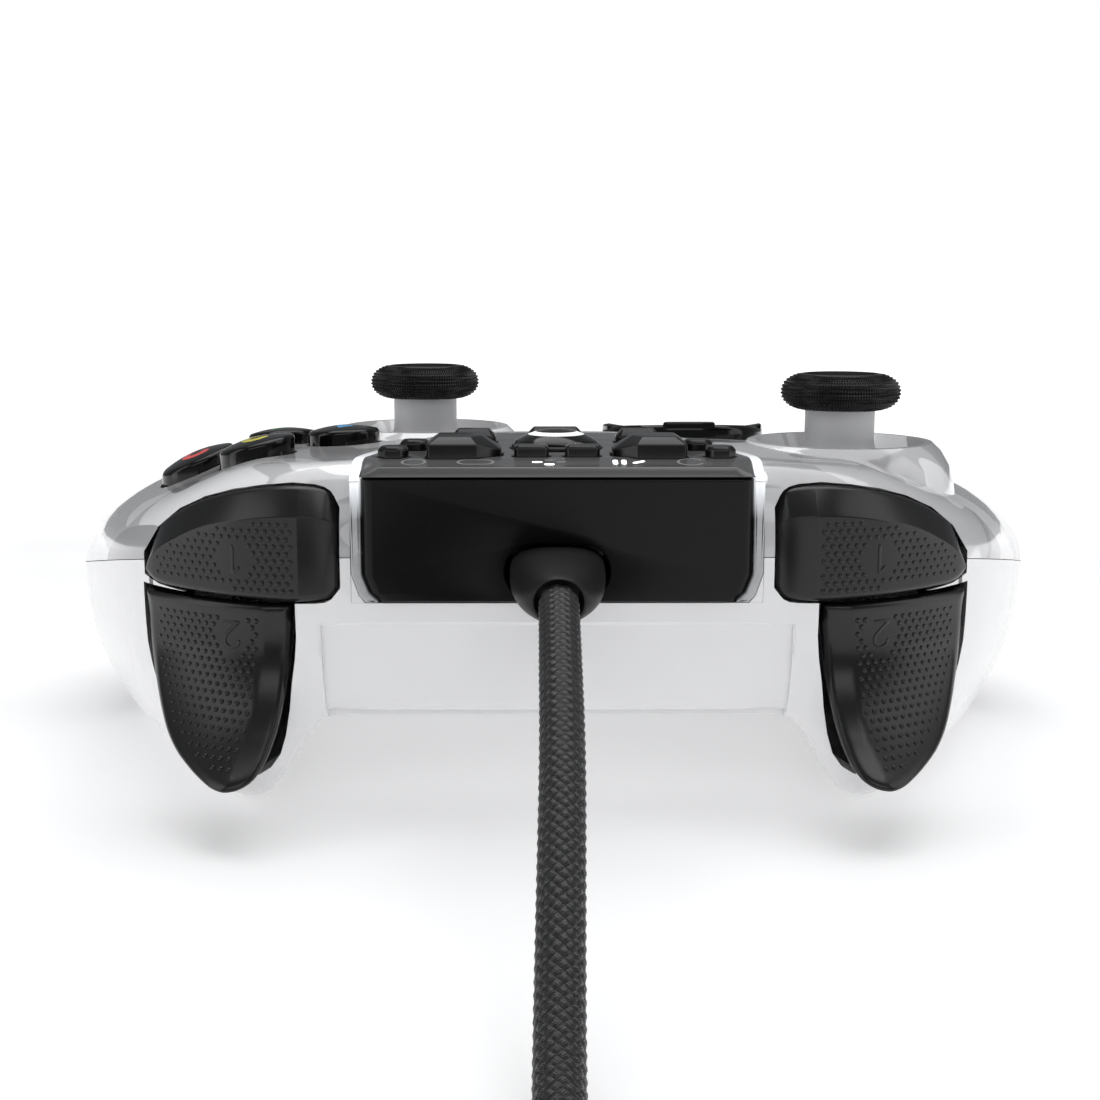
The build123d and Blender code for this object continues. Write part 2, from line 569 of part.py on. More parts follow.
with BuildPart() as guide_button:
    with BuildSketch(Plane.XZ.offset(-GUIDE[2])):
        with BuildLine():
            Line((0, 39.9), (1.3, 39.9))
            Polyline((1.3, 39.9), (1.3, 46.0), (6.8, 46.0), (6.8, 47.1), (6.15, 47.1), (6.15, 49.8))
            ThreePointArc((6.15, 49.8), (10.25 * math.sin(0.32175), 41.6 + 10.25 * math.cos(0.32175)), (0, 51.85))
            Line((0, 51.85), (0, 39.9))
        make_face()
    revolve(axis=Axis((0, GUIDE[2], 0), (0, 0, 1)))
guide_button.part.label = "guide_button"
export_step(guide_button.part, "parts/guide_button.step")
buttons["guide_button"] = (GUIDE[1], GUIDE[2])

# ---------------------------------------------------------------- face buttons
FACE_BUTTONS = [("blue_button", FACE_SP, 0), ("green_button", 0, FACE_SP), ("red_button", -FACE_SP, 0), ("yellow_button", 0, -FACE_SP)]
face_tops = {}
for nm, dx, dy in FACE_BUTTONS:
    cx, cy = FACE_C[0] + dx, FACE_C[1] + dy
    zc = float(top_z(cx, cy)[0])
    e = 2.0
    nx = float(-(top_z(cx + e, cy)[0] - top_z(cx - e, cy)[0]) / (2 * e))
    ny = float(-(top_z(cx, cy + e)[0] - top_z(cx, cy - e)[0]) / (2 * e))
    nrm = Vector(nx, ny, 1).normalized()
    crown_top = Vector(cx, cy, zc + 2.7)
    ball_c = crown_top - nrm * 17.0
    face_tops[nm] = (cx, cy, zc + 2.7)
    with BuildPart() as face_button:
        with Locations((cx, cy, 40.6)):
            Cylinder(FACE_R, 14, align=(Align.CENTER, Align.CENTER, Align.MIN))
        with Locations((ball_c.X, ball_c.Y, ball_c.Z)):
            Sphere(17.0, mode=Mode.INTERSECT)
        fillet(face_button.faces().filter_by(GeomType.SPHERE)[0].edges().sort_by(SortBy.LENGTH)[-1], 0.35)
        # key rib towards the middle of the group
        ux, uy = -dx / FACE_SP, -dy / FACE_SP
        with Locations((cx + ux * 5.3, cy + uy * 5.3, 42.2)):
            Box(1.4, 1.4, 1.2, align=(Align.CENTER, Align.CENTER, Align.MIN))
    face_button.part.label = nm
    export_step(face_button.part, f"parts/{nm}.step")

# ---------------------------------------------------------------- direction pad
px_, py_ = DPAD_C
with BuildPart() as dpad:
    with BuildSketch(Plane((px_, py_, 0), x_dir=(1, 0, 0), z_dir=(0, -1, 0))):
        with BuildLine():
            Polyline((0, 44.4), (11.9, 44.4), (11.9, 41.6), (13.0, 41.6), (DPAD_R, 43.0), (DPAD_R, 46.6), (12.6, 47.3))
            ThreePointArc((12.6, 47.3), (6.5, 46.1), (0, 45.7))
            Line((0, 45.7), (0, 44.4))
        make_face()
    revolve(axis=Axis((px_, py_, 0), (0, 0, 1)))
    with BuildSketch(Plane.XY.offset(44.6)):
        with Locations((px_, py_)):
            Rectangle(26.2, 8.2)
            Rectangle(8.2, 26.2)
            Circle(12.9, mode=Mode.INTERSECT)
    extrude(amount=5.0)
    with Locations((px_, py_, 46.8 + 40.1)):
        Sphere(40.1, mode=Mode.SUBTRACT)
    # bearing ears and four pressing pins underneath
    with Locations((px_, py_ + 3.9, 40.2), (px_, py_ - 3.9, 40.2)):
        Box(3.2, 1.4, 4.4, align=(Align.CENTER, Align.CENTER, Align.MIN))
    with Locations((px_, py_, 40.5)):
        with PolarLocations(9.5, 4):
            Cylinder(1.2, 4.1, align=(Align.CENTER, Align.CENTER, Align.MIN))
    with Locations(Location((px_, py_, 41.4), (90, 0, 0))):
        Cylinder(0.85, 12, mode=Mode.SUBTRACT)
dpad.part.label = "dpad"
export_step(dpad.part, "parts/dpad.step")

with BuildPart() as dpad_pivot:
    with Locations((px_, py_, 41.4)):
        Box(5.6, 5.6, 2.2)
    with Locations(Location((px_, py_, 41.4), (90, 0, 0))):
        Cylinder(0.8, 9.2)
    with Locations(Location((px_, py_, 41.4), (0, 90, 0))):
        Cylinder(0.8, 9.2)
dpad_pivot.part.label = "dpad_pivot"
export_step(dpad_pivot.part, "parts/dpad_pivot.step")

# ---------------------------------------------------------------- sticks
for side, (cx, cy) in (("left", STICK_L), ("right", STICK_R)):
    upright = Plane((cx, cy, 0), x_dir=(1, 0, 0), z_dir=(0, -1, 0))
    axis_ = Axis((cx, cy, 0), (0, 0, 1))
    with BuildPart() as stick_housing:
        with Locations((cx, cy, BOARD_Z1)):
            Box(17, 17, 9, align=(Align.CENTER, Align.CENTER, Align.MIN))
        with Locations((cx, cy, BOARD_Z1 + 1.0)):
            Box(15, 15, 10, align=(Align.CENTER, Align.CENTER, Align.MIN), mode=Mode.SUBTRACT)
    stick_housing.part.label = f"{side}_stick_housing"
    export_step(stick_housing.part, f"parts/{side}_stick_housing.step")

    with BuildPart() as stick_seat:
        # pressing carriage with two bearing uprights
        with Locations((cx, cy, 29.6)):
            Box(14.4, 6.4, 1.2, align=(Align.CENTER, Align.CENTER, Align.MIN))
        with Locations((cx + 6.5, cy, 29.6), (cx - 6.5, cy, 29.6)):
            Box(1.4, 4.6, 7.2, align=(Align.CENTER, Align.CENTER, Align.MIN))
        with Locations(Location((cx, cy, PIVOT_Z), (0, 90, 0))):
            Cylinder(1.25, 20, mode=Mode.SUBTRACT)
    stick_seat.part.label = f"{side}_stick_seat"
    export_step(stick_seat.part, f"parts/{side}_stick_seat.step")

    with BuildPart() as yoke:
        with Locations((cx, cy, PIVOT_Z)):
            Box(10.8, 8.8, 3.0)
            Box(7.4, 5.4, 4.0, mode=Mode.SUBTRACT)
        with Locations(Location((cx + 6.2, cy, PIVOT_Z), (0, 90, 0)), Location((cx - 6.2, cy, PIVOT_Z), (0, 90, 0))):
            Cylinder(1.2, 1.9)
        with Locations(Location((cx, cy, PIVOT_Z), (90, 0, 0))):
            Cylinder(0.85, 12, mode=Mode.SUBTRACT)
    yoke.part.label = f"{side}_stick_yoke"
    export_step(yoke.part, f"parts/{side}_stick_yoke.step")

    with BuildPart() as stick_post:
        a1, a2 = math.radians(22.3), math.radians(75)
        ri = SKIRT_R - 1.0
        b1, b2 = math.asin(2.2 / ri), math.radians(75)
        bm, am = (b1 + b2) / 2, (a1 + a2) / 2
        with BuildSketch(upright):
            with BuildLine():
                Polyline((0, 32.9), (2.2, 32.9), (2.2, PIVOT_Z + ri * math.cos(b1)))
                ThreePointArc((2.2, PIVOT_Z + ri * math.cos(b1)), (ri * math.sin(bm), PIVOT_Z + ri * math.cos(bm)),
                              (ri * math.sin(b2), PIVOT_Z + ri * math.cos(b2)))
                Line((ri * math.sin(b2), PIVOT_Z + ri * math.cos(b2)), (SKIRT_R * math.sin(a2), PIVOT_Z + SKIRT_R * math.cos(a2)))
                ThreePointArc((SKIRT_R * math.sin(a2), PIVOT_Z + SKIRT_R * math.cos(a2)),
                              (SKIRT_R * math.sin(am), PIVOT_Z + SKIRT_R * math.cos(am)),
                              (SKIRT_R * math.sin(a1), PIVOT_Z + SKIRT_R * math.cos(a1)))
                Polyline((SKIRT_R * math.sin(a1), PIVOT_Z + SKIRT_R * math.cos(a1)), (STEM_R, 48.4), (STEM_R, 54.2), (0, 54.2), (0, 32.9))
            make_face()
        revolve(axis=axis_)
        with Locations(Location((cx, cy, PIVOT_Z), (90, 0, 0))):
            Cylinder(0.8, 8.4)
    stick_post.part.label = f"{side}_stick_post"
    export_step(stick_post.part, f"parts/{side}_stick_post.step")

    with BuildPart() as stick_cap:
        with BuildSketch(upright):
            with BuildLine():
                Polyline((0, 54.2), (STEM_R, 54.2), (STEM_R, CAP_Z0), (7.0, CAP_Z0))
                Spline((7.0, CAP_Z0), (8.25, 53.5), (CAP_R, 54.9), (8.6, 56.6), (7.4, 57.9), (5.8, CAP_Z1))
                Spline((5.8, CAP_Z1), (4.6, 57.6), (2.4, 57.0), (0, 56.8))
                Line((0, 56.8), (0, 54.2))
            make_face()
        revolve(axis=axis_)
    stick_cap.part.label = f"{side}_stick_cap"
    export_step(stick_cap.part, f"parts/{side}_stick_cap.step")

# ---------------------------------------------------------------- bumpers
with BuildPart() as left_bumper:
    for st in BUMPER:
        with BuildSketch(Plane.YZ.offset(st[0])):
            with BuildLine():
                pr_ = bumper_profile(*st)
                Polyline(*(pr_ + [pr_[0]]))
            make_face()
    loft(ruled=True)
    with Locations((BUMP_PIN[0], BUMP_PIN[1], 29.0)):
        Cylinder(0.95, 4, align=(Align.CENTER, Align.CENTER, Align.MIN))
left_bumper.part.label = "left_bumper"
export_step(left_bumper.part, "parts/left_bumper.step")

with BuildPart() as right_bumper:
    add(mirror(left_bumper.part, about=Plane.YZ, mode=Mode.PRIVATE))
right_bumper.part.label = "right_bumper"
export_step(right_bumper.part, "parts/right_bumper.step")


# ---------------------------------------------------------------- triggers
with BuildPart() as left_trigger:
    # curved face plate
    for x_, zb in TRIGGER:
        f_ = trigger_front(x_, zb)
        b_ = [(y + 2.0, z) for y, z in f_]
        with BuildSketch(Plane.YZ.offset(x_)):
            with BuildLine():
                add(Edge.make_spline([Vector(*p) for p in f_], parameters=[k / 10 for k in range(11)]))
                Line(f_[-1], b_[-1])
                add(Edge.make_spline([Vector(*p) for p in b_[::-1]], parameters=[k / 10 for k in range(11)]))
                Line(b_[0], f_[0])
            make_face()
    loft(ruled=True)
    # two webs to the hub
    for x0, x1 in ((37.4, 38.8), (45.6, 47.0)):
        w_ = [(trigger_y(x0, z) + 1.0, z) for z in (29.8, 27, 24, 21, 18, 15.5, 13.6)]
        with BuildSketch(Plane.YZ.offset(x0)):
            with BuildLine():
                wp_ = [(TRIG_Y, TRIG_Z + 2.6)] + w_ + [(w_[-1][0] + 3.0, w_[-1][1]), (TRIG_Y - 1.6, TRIG_Z - 2.2)]
                Polyline(*(wp_ + [wp_[0]]))
            make_face()
        extrude(amount=x1 - x0)
    with Locations(Location((38.7, TRIG_Y, TRIG_Z), (0, 90, 0)), Location((45.7, TRIG_Y, TRIG_Z), (0, 90, 0))):
        Cylinder(2.6, 2.6)
    with Locations(Location((42, TRIG_Y, TRIG_Z), (0, 90, 0))):
        Cylinder(TRIG_PIN_R + 0.05, 30, mode=Mode.SUBTRACT)
left_trigger.part.label = "left_trigger"
export_step(left_trigger.part, "parts/left_trigger.step")

with BuildPart() as right_trigger:
    add(mirror(left_trigger.part, about=Plane.YZ, mode=Mode.PRIVATE))
right_trigger.part.label = "right_trigger"
export_step(right_trigger.part, "parts/right_trigger.step")

with BuildPart() as trigger_brackets:
    for x0 in (35.8, 47.6):
        with BuildSketch(Plane.YZ.offset(x0)):
            with BuildLine():
                Polyline((TRIG_Y - 2.6, 30.2), (TRIG_Y - 2.6, 24.4), (TRIG_Y + 2.0, 24.0), (-24.0, 28.0), (-21.5, 28.0),
                         (-21.5, 30.8), (TRIG_Y - 1, 30.8), (TRIG_Y - 2.6, 30.2))
            make_face()
        extrude(amount=1.2)
    with Locations((42.3, -22.9, BOARD_Z1)):
        Box(13.0, 2.8, 2.8, align=(Align.CENTER, Align.CENTER, Align.MIN))
    with Locations(Location((42, TRIG_Y, TRIG_Z), (0, 90, 0))):
        Cylinder(TRIG_PIN_R, 30, mode=Mode.SUBTRACT)
    mirror(about=Plane.YZ)
trigger_brackets.part.label = "trigger_brackets"
export_step(trigger_brackets.part, "parts/trigger_brackets.step")

with BuildPart() as trigger_pins:
    with Locations(Location((42.3, TRIG_Y, TRIG_Z), (0, 90, 0)), Location((-42.3, TRIG_Y, TRIG_Z), (0, 90, 0))):
        Cylinder(TRIG_PIN_R, 13.4)
trigger_pins.part.label = "trigger_pins"
export_step(trigger_pins.part, "parts/trigger_pins.step")

# torsion springs: the coil sits on the pin between the hub halves
for side, k in (("left", 1), ("right", -1)):
    with BuildPart() as trigger_spring:
        with BuildLine():
            coil_ = Helix(pitch=0.95, height=3.4, radius=2.15, center=(40.6 if k > 0 else -44.0, TRIG_Y, TRIG_Z), direction=(1, 0, 0))
        with BuildSketch(Plane(origin=coil_ @ 0, z_dir=coil_ % 0)):
            Circle(0.36)
        sweep(path=coil_, is_frenet=True)
    spring_part = trigger_spring.part
    spring_part.label = f"{side}_trigger_spring"
    export_step(spring_part, f"parts/{side}_trigger_spring.step")

# ---------------------------------------------------------------- boards
MAIN = [(-31, -39.6), (31, -39.6), (31, -23.6), (53, -23.6), (59, -12), (63, 0), (61, 10), (50, 11.5), (40, 22), (29, 26), (-29, 26),
        (-40, 22), (-50, 11.5), (-61, 10), (-63, 0), (-59, -12), (-53, -23.6), (-31, -23.6)]
with BuildPart() as main_board:
    with BuildSketch(Plane.XY.offset(BOARD_Z0)):
        with BuildLine():
            Polyline(*(MAIN + [MAIN[0]]))
        make_face()
        with Locations(*SCREWS[2:]):
            Circle(4.0, mode=Mode.SUBTRACT)
    extrude(amount=BOARD_Z1 - BOARD_Z0)
    # posts that carry the upper board
    with Locations(*[(x, y, BOARD_Z1) for x, y in STANDOFFS]):
        Cylinder(1.9, UPPER_Z0 - BOARD_Z1, align=(Align.CENTER, Align.CENTER, Align.MIN))
    # main chip and a few larger parts
    with Locations((0, -12, BOARD_Z1), (12, -22, BOARD_Z1)):
        Box(9, 9, 1.2, align=(Align.CENTER, Align.CENTER, Align.MIN))
    with Locations((-10, -28, BOARD_Z1), (20, 4, BOARD_Z1), (14, 18, BOARD_Z1)):
        Box(5, 4, 1.6, align=(Align.CENTER, Align.CENTER, Align.MIN))
main_board.part.label = "main_board"
export_step(main_board.part, "parts/main_board.step")

UPPER = [(-26.5, -40.6), (26.5, -40.6), (26.5, -34.6), (24.0, -32), (24.0, 5.5), (33.5, 9.5), (34.5, 19), (28.5, 24.0), (7.5, 25.0), (-2.6, 22),
         (-2.6, -4.4), (-38.6, -4.4), (-38.8, 7.6), (-53.5, 7.4), (-57.0, -4), (-55.5, -13), (-49.5, -23.5), (-43, -30.5), (-31, -33.8), (-26.5, -34.6)]
with BuildPart() as button_board:
    with BuildSketch(Plane.XY.offset(UPPER_Z0)):
        with BuildLine():
            Polyline(*(UPPER + [UPPER[0]]))
        make_face()
        with Locations(SCREWS[3]):
            Circle(3.3, mode=Mode.SUBTRACT)
        with Locations(STICK_L, STICK_R):
            Circle(16.8, mode=Mode.SUBTRACT)
    extrude(amount=UPPER_Z1 - UPPER_Z0)
    # bearing ears of the pad
    with Locations((px_ + 3.9, py_, UPPER_Z1), (px_ - 3.9, py_, UPPER_Z1)):
        Box(1.4, 3.2, 4.4, align=(Align.CENTER, Align.CENTER, Align.MIN))
    with Locations(Location((px_, py_, 41.4), (0, 90, 0))):
        Cylinder(0.85, 12, mode=Mode.SUBTRACT)
button_board.part.label = "button_board"
export_step(button_board.part, "parts/button_board.step")

with BuildPart() as rubber_domes:
    spots_ = list(buttons.values()) + [(FACE_C[0] + dx, FACE_C[1] + dy) for _, dx, dy in FACE_BUTTONS]
    spots_ += [(px_ + 9.5, py_), (px_ - 9.5, py_), (px_, py_ + 9.5), (px_, py_ - 9.5)]
    with Locations(*[(x, y, UPPER_Z1) for x, y in spots_]):
        Cone(2.0, 1.4, 1.1, align=(Align.CENTER, Align.CENTER, Align.MIN))
rubber_domes.part.label = "rubber_domes"
export_step(rubber_domes.part, "parts/rubber_domes.step")

with BuildPart() as usb_receptacle:
    with Locations((0, -41.0, UPPER_Z0)):
        Box(9.6, 8.0, 3.2, align=(Align.CENTER, Align.MIN, Align.MAX))
    with Locations((0, -41.0, 35.4)):
        Box(8.6, 6.6, 2.5, align=(Align.CENTER, Align.MIN, Align.CENTER), mode=Mode.SUBTRACT)
usb_receptacle.part.label = "usb_receptacle"
export_step(usb_receptacle.part, "parts/usb_receptacle.step")

with BuildPart() as headset_jack:
    with Locations((0, 21.6, BOARD_Z0)):
        Box(7.4, 6.0, 9.2, align=(Align.CENTER, Align.CENTER, Align.MAX))
    with Locations(Location((0, 27.8, JACK_Z), (90, 0, 0))):
        Cylinder(2.9, 6.8)
    with Locations(Location((0, 31.2, JACK_Z), (90, 0, 0))):
        Cylinder(1.8, 24, mode=Mode.SUBTRACT)
    with Locations((0, 19.2, JACK_Z)):
        Box(7.4, 0.8, 5, mode=Mode.ADD)
headset_jack.part.label = "headset_jack"
export_step(headset_jack.part, "parts/headset_jack.step")

# ---------------------------------------------------------------- rumble motors
for side, k in (("left", 1), ("right", -1)):
    with BuildPart() as motor:
        with Locations(Location((k * MOTOR_X, 29.75, MOTOR_Z), (90, 0, 0))):
            Cylinder(6.5, 14.5)
            Cylinder(1.05, 30, mode=Mode.SUBTRACT)
    motor.part.label = f"{side}_motor"
    export_step(motor.part, f"parts/{side}_motor.step")
    with BuildPart() as weight:
        with BuildSketch(Plane.XZ.offset(-14.0)):
            with Locations((k * MOTOR_X, MOTOR_Z)):
                Circle(9.0)
                with Locations((0, 5.4)):
                    Rectangle(20, 7.6, mode=Mode.SUBTRACT)
                Circle(2.4)
        extrude(amount=-6.6)
        with Locations(Location((k * MOTOR_X, 24.0, MOTOR_Z), (90, 0, 0))):
            Cylinder(1.0, 14)
    weight.part.label = f"{side}_motor_weight"
    export_step(weight.part, f"parts/{side}_motor_weight.step")

# ---------------------------------------------------------------- screws
with BuildPart() as screws:
    for sx, sy in SCREWS:
        seat = float(bottom_z(sx, sy)[0]) + 0.9 + 4.0
        tip = parting(sy) + 5.5
        with Locations((sx, sy, seat)):
            Cylinder(2.4, 1.7, align=(Align.CENTER, Align.CENTER, Align.MAX))
            Cylinder(1.05, tip - seat, align=(Align.CENTER, Align.CENTER, Align.MIN))
        with Locations((sx, sy, seat - 1.7)):
            Box(2.6, 0.6, 1.2, align=(Align.CENTER, Align.CENTER, Align.CENTER), mode=Mode.SUBTRACT)
            Box(0.6, 2.6, 1.2, align=(Align.CENTER, Align.CENTER, Align.CENTER), mode=Mode.SUBTRACT)
screws.part.label = "screws"
export_step(screws.part, "parts/screws.step")

# ---------------------------------------------------------------- cable: plug, lead, coil, tie and far plug
PLUG_END = Vector(0, -62.0, 35.2)
PLUG_DIR = Vector(0, -12.0, -3.4).normalized()


def rounded(w, d, p):
    """closed outline, w wide and d deep, squarer as p grows"""
    out = []
    for i in range(20):
        a = 2 * math.pi * i / 20
        c, s = math.cos(a), math.sin(a)
        out.append((w / 2 * math.copysign(abs(c) ** (2 / p), c), d / 2 * math.copysign(abs(s) ** (2 / p), s)))
    return out


with BuildPart() as cable_plug:
    for yy, zz, w_, d_, p_ in ((41.8, 35.4, 12.1, 6.2, 2.9), (47.0, 35.4, 11.95, 7.0, 2.7), (52.0, 35.4, 11.6, 7.6, 2.4), (57.0, 35.35, 10.6, 7.4, 2.1)):
        with BuildSketch(Plane.XZ.offset(yy)):
            with BuildLine():
                Spline(*[(x, zz + z) for x, z in rounded(w_, d_, p_)], periodic=True)
            make_face()
    with BuildSketch(Plane(origin=PLUG_END, x_dir=(1, 0, 0), z_dir=PLUG_DIR)):
        with BuildLine():
            Spline(*rounded(6.5, 6.3, 2.0), periodic=True)
        make_face()
    loft()
    # metal tongue inside the receptacle
    with Locations((0, -41.9, 35.4)):
        Box(8.2, 6.9, 2.2, align=(Align.CENTER, Align.MIN, Align.CENTER))
cable_plug.part.label = "cable_plug"
export_step(cable_plug.part, "parts/cable_plug.step")

FLOOR = CORD_D / 2
ROUTE = [(0.0, -62.0, 35.2), (0.0, -74.0, 31.8), (0.1, -87.5, 25.8), (-0.2, -99.8, 16.9), (-0.5, -111.4, 7.4), (-0.6, -123.0, FLOOR),
         (-0.3, -137.5, FLOOR), (-1.2, -152.0, FLOOR), (-0.4, -166.5, FLOOR), (-1.0, -180.0, FLOOR)]
radii = []
for i in range(1, len(ROUTE) - 1):
    u = Vector(*ROUTE[i]) - Vector(*ROUTE[i - 1])
    v = Vector(*ROUTE[i + 1]) - Vector(*ROUTE[i])
    turn = math.radians(u.get_angle(v))
    radii.append(0.45 * min(u.length, v.length) / math.tan(turn / 2))
with BuildPart() as cord_tube:
    with BuildLine():
        lead = FilletPolyline(*ROUTE, radius=radii)
    with BuildSketch(Plane(origin=ROUTE[0], z_dir=Vector(*ROUTE[1]) - Vector(*ROUTE[0]))):
        Circle(CORD_D / 2)
    sweep(path=lead)
cord_tube.part.label = "cord_tube"
export_step(cord_tube.part, "parts/cord_tube.step")
section_length = math.pi * (CORD_D / 2) ** 2 * lead.length
print("cord radii", [round(r, 1) for r in radii], "in diameters", [round(r / CORD_D, 1) for r in radii])
print("cord lead length", round(lead.length, 1), "volume", round(cord_tube.part.volume, 1), "section x length", round(section_length, 1))

with BuildPart() as cord_coil:
    with BuildSketch(Plane((COIL_C[0], COIL_C[1], 0), x_dir=(1, 0, 0), z_dir=(0, -1, 0))):
        with Locations((COIL_MID_R, COIL_H / 2)):
            RectangleRounded(COIL_W, COIL_H, 5.0)
    revolve(axis=Axis((COIL_C[0], COIL_C[1], 0), (0, 0, 1)))
cord_coil.part.label = "cord_coil"
export_step(cord_coil.part, "parts/cord_coil.step")
turns = (CORD_LENGTH - lead.length) / (2 * math.pi * COIL_MID_R)
print("coil turns", round(turns, 2), "mean diameter in cord diameters", round(2 * COIL_MID_R / CORD_D, 1))

with BuildPart() as cord_tie:
    with BuildSketch(Plane.XZ.offset(-(COIL_C[1] + 3.5))):
        with Locations((COIL_C[0] - COIL_MID_R, (COIL_H + 0.9) / 2)):
            RectangleRounded(COIL_W + 1.6, COIL_H + 0.9, 5.4)
        with Locations((COIL_C[0] - COIL_MID_R, (COIL_H + 0.6) / 2)):
            RectangleRounded(COIL_W + 0.2, COIL_H - 0.6, 4.6, mode=Mode.SUBTRACT)
    extrude(amount=7.0)
cord_tie.part.label = "cord_tie"
export_step(cord_tie.part, "parts/cord_tie.step")

PLUG_Y, PLUG_Z = COIL_C[1] - 25.0, COIL_H
with BuildPart() as usb_plug_body:
    with Locations((COIL_C[0] + 6.0, PLUG_Y, PLUG_Z)):
        Box(28.0, 15.4, 7.8, align=(Align.CENTER, Align.CENTER, Align.MIN))
    fillet(usb_plug_body.edges().filter_by(Axis.X), 2.0)
    fillet(usb_plug_body.faces().sort_by(Axis.X)[-1].edges(), 1.0)
usb_plug_body.part.label = "usb_plug_body"
export_step(usb_plug_body.part, "parts/usb_plug_body.step")

with BuildPart() as usb_plug_shell:
    with Locations((COIL_C[0] - 8.0, PLUG_Y, PLUG_Z + 3.9)):
        Box(12.0, 12.0, 4.5, align=(Align.MAX, Align.CENTER, Align.CENTER))
    with Locations((COIL_C[0] - 20.0, PLUG_Y, PLUG_Z + 3.9 + 0.9)):
        Box(9.0, 11.2, 1.9, align=(Align.MIN, Align.CENTER, Align.CENTER), mode=Mode.SUBTRACT)
usb_plug_shell.part.label = "usb_plug_shell"
export_step(usb_plug_shell.part, "parts/usb_plug_shell.step")
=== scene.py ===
import json
import math

import bmesh
import bpy
import numpy as np
from mathutils import Matrix, Vector


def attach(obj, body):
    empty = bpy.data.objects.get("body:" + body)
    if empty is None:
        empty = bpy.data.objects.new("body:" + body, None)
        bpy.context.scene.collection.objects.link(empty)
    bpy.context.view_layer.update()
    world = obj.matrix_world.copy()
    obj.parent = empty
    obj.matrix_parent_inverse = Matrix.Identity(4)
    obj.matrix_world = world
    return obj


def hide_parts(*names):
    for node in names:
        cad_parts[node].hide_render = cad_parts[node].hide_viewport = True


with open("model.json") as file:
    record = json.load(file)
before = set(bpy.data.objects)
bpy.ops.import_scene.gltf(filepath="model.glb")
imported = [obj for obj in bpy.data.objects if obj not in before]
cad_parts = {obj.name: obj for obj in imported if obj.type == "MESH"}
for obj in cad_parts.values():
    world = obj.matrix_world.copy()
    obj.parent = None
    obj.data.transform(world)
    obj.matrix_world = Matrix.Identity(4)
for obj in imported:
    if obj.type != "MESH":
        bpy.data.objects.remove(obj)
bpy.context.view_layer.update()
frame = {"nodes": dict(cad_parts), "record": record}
MM = 0.001
SCENE = bpy.context.scene

# ---------------------------------------------------------------- camera
cam_data = bpy.data.cameras.new("camera")
cam_data.lens = 50.0
cam_data.sensor_width = 36.0
cam_data.clip_start = 0.005
cam_data.clip_end = 20.0
cam = bpy.data.objects.new("camera", cam_data)
SCENE.collection.objects.link(cam)
cam.location = (-0.0020, -0.234, 0.0712)
cam.rotation_euler = (math.radians(90 - 9.84), 0.0, math.radians(-0.32))
SCENE.camera = cam


# ---------------------------------------------------------------- small tools
def build(name, verts, faces, mats=(), smooth=True, sharp=None, face_mats=None):
    """a mesh object from points in millimetres"""
    me = bpy.data.meshes.new(name)
    me.from_pydata([tuple(float(c) * MM for c in v) for v in verts], [], [tuple(int(i) for i in f) for f in faces])
    me.validate()
    me.update()
    for m in mats:
        me.materials.append(m)
    if face_mats is not None:
        me.polygons.foreach_set("material_index", np.asarray(face_mats, np.int32))
    if smooth:
        me.shade_smooth()
        if sharp is not None:
            me.set_sharp_from_angle(angle=math.radians(sharp))
    ob = bpy.data.objects.new(name, me)
    SCENE.collection.objects.link(ob)
    return ob


def outward(ob):
    """turn all faces outward"""
    bm = bmesh.new()
    bm.from_mesh(ob.data)
    bmesh.ops.recalc_face_normals(bm, faces=bm.faces)
    bm.to_mesh(ob.data)
    bm.free()
    return ob


def lathe(name, profile, centre=(0, 0), seg=96, mats=(), sharp=35):
    """turn (radius, z) pairs about an upright axis; a radius of zero closes the form"""
    verts, faces, rows = [], [], []
    for r, z in profile:
        if r < 1e-6:
            rows.append([len(verts)])
            verts.append((centre[0], centre[1], z))
        else:
            rows.append(list(range(len(verts), len(verts) + seg)))
            for i in range(seg):
                a = 2 * math.pi * i / seg
                verts.append((centre[0] + r * math.cos(a), centre[1] + r * math.sin(a), z))
    for a, b in zip(rows, rows[1:]):
        for i in range(seg):
            j = (i + 1) % seg
            if len(a) == 1 and len(b) == 1:
                continue
            if len(a) == 1:
                faces.append((a[0], b[j], b[i]))
            elif len(b) == 1:
                faces.append((a[i], a[j], b[0]))
            else:
                faces.append((a[i], a[j], b[j], b[i]))
    ob = build(name, verts, faces, mats, sharp=sharp)
    return outward(ob)


def arc(cx, cz, r, a0, a1, n):
    """points of an arc, angles in degrees"""
    return [(cx + r * math.cos(math.radians(a0 + (a1 - a0) * i / n)), cz + r * math.sin(math.radians(a0 + (a1 - a0) * i / n)))
            for i in range(n + 1)]


def round_poly(pts, r, n=5):
    """polygon with each corner rounded"""
    pts = [np.array(p, float) for p in pts]
    out = []
    for i, p in enumerate(pts):
        a, b = pts[i - 1], pts[(i + 1) % len(pts)]
        u, v = (a - p), (b - p)
        lu, lv = np.linalg.norm(u), np.linalg.norm(v)
        u, v = u / lu, v / lv
        half = math.acos(max(-1, min(1, float(u @ v)))) / 2
        rr = r[i] if isinstance(r, (list, tuple)) else r
        t = min(rr / math.tan(half), 0.48 * lu, 0.48 * lv)
        rr = t * math.tan(half)
        c = p + (u + v) / np.linalg.norm(u + v) * (rr / math.sin(half))
        s, e = p + u * t - c, p + v * t - c
        a0, a1 = math.atan2(s[1], s[0]), math.atan2(e[1], e[0])
        d = (a1 - a0 + math.pi) % (2 * math.pi) - math.pi
        for k in range(n + 1):
            w = a0 + d * k / n
            out.append((c[0] + rr * math.cos(w), c[1] + rr * math.sin(w)))
    return out


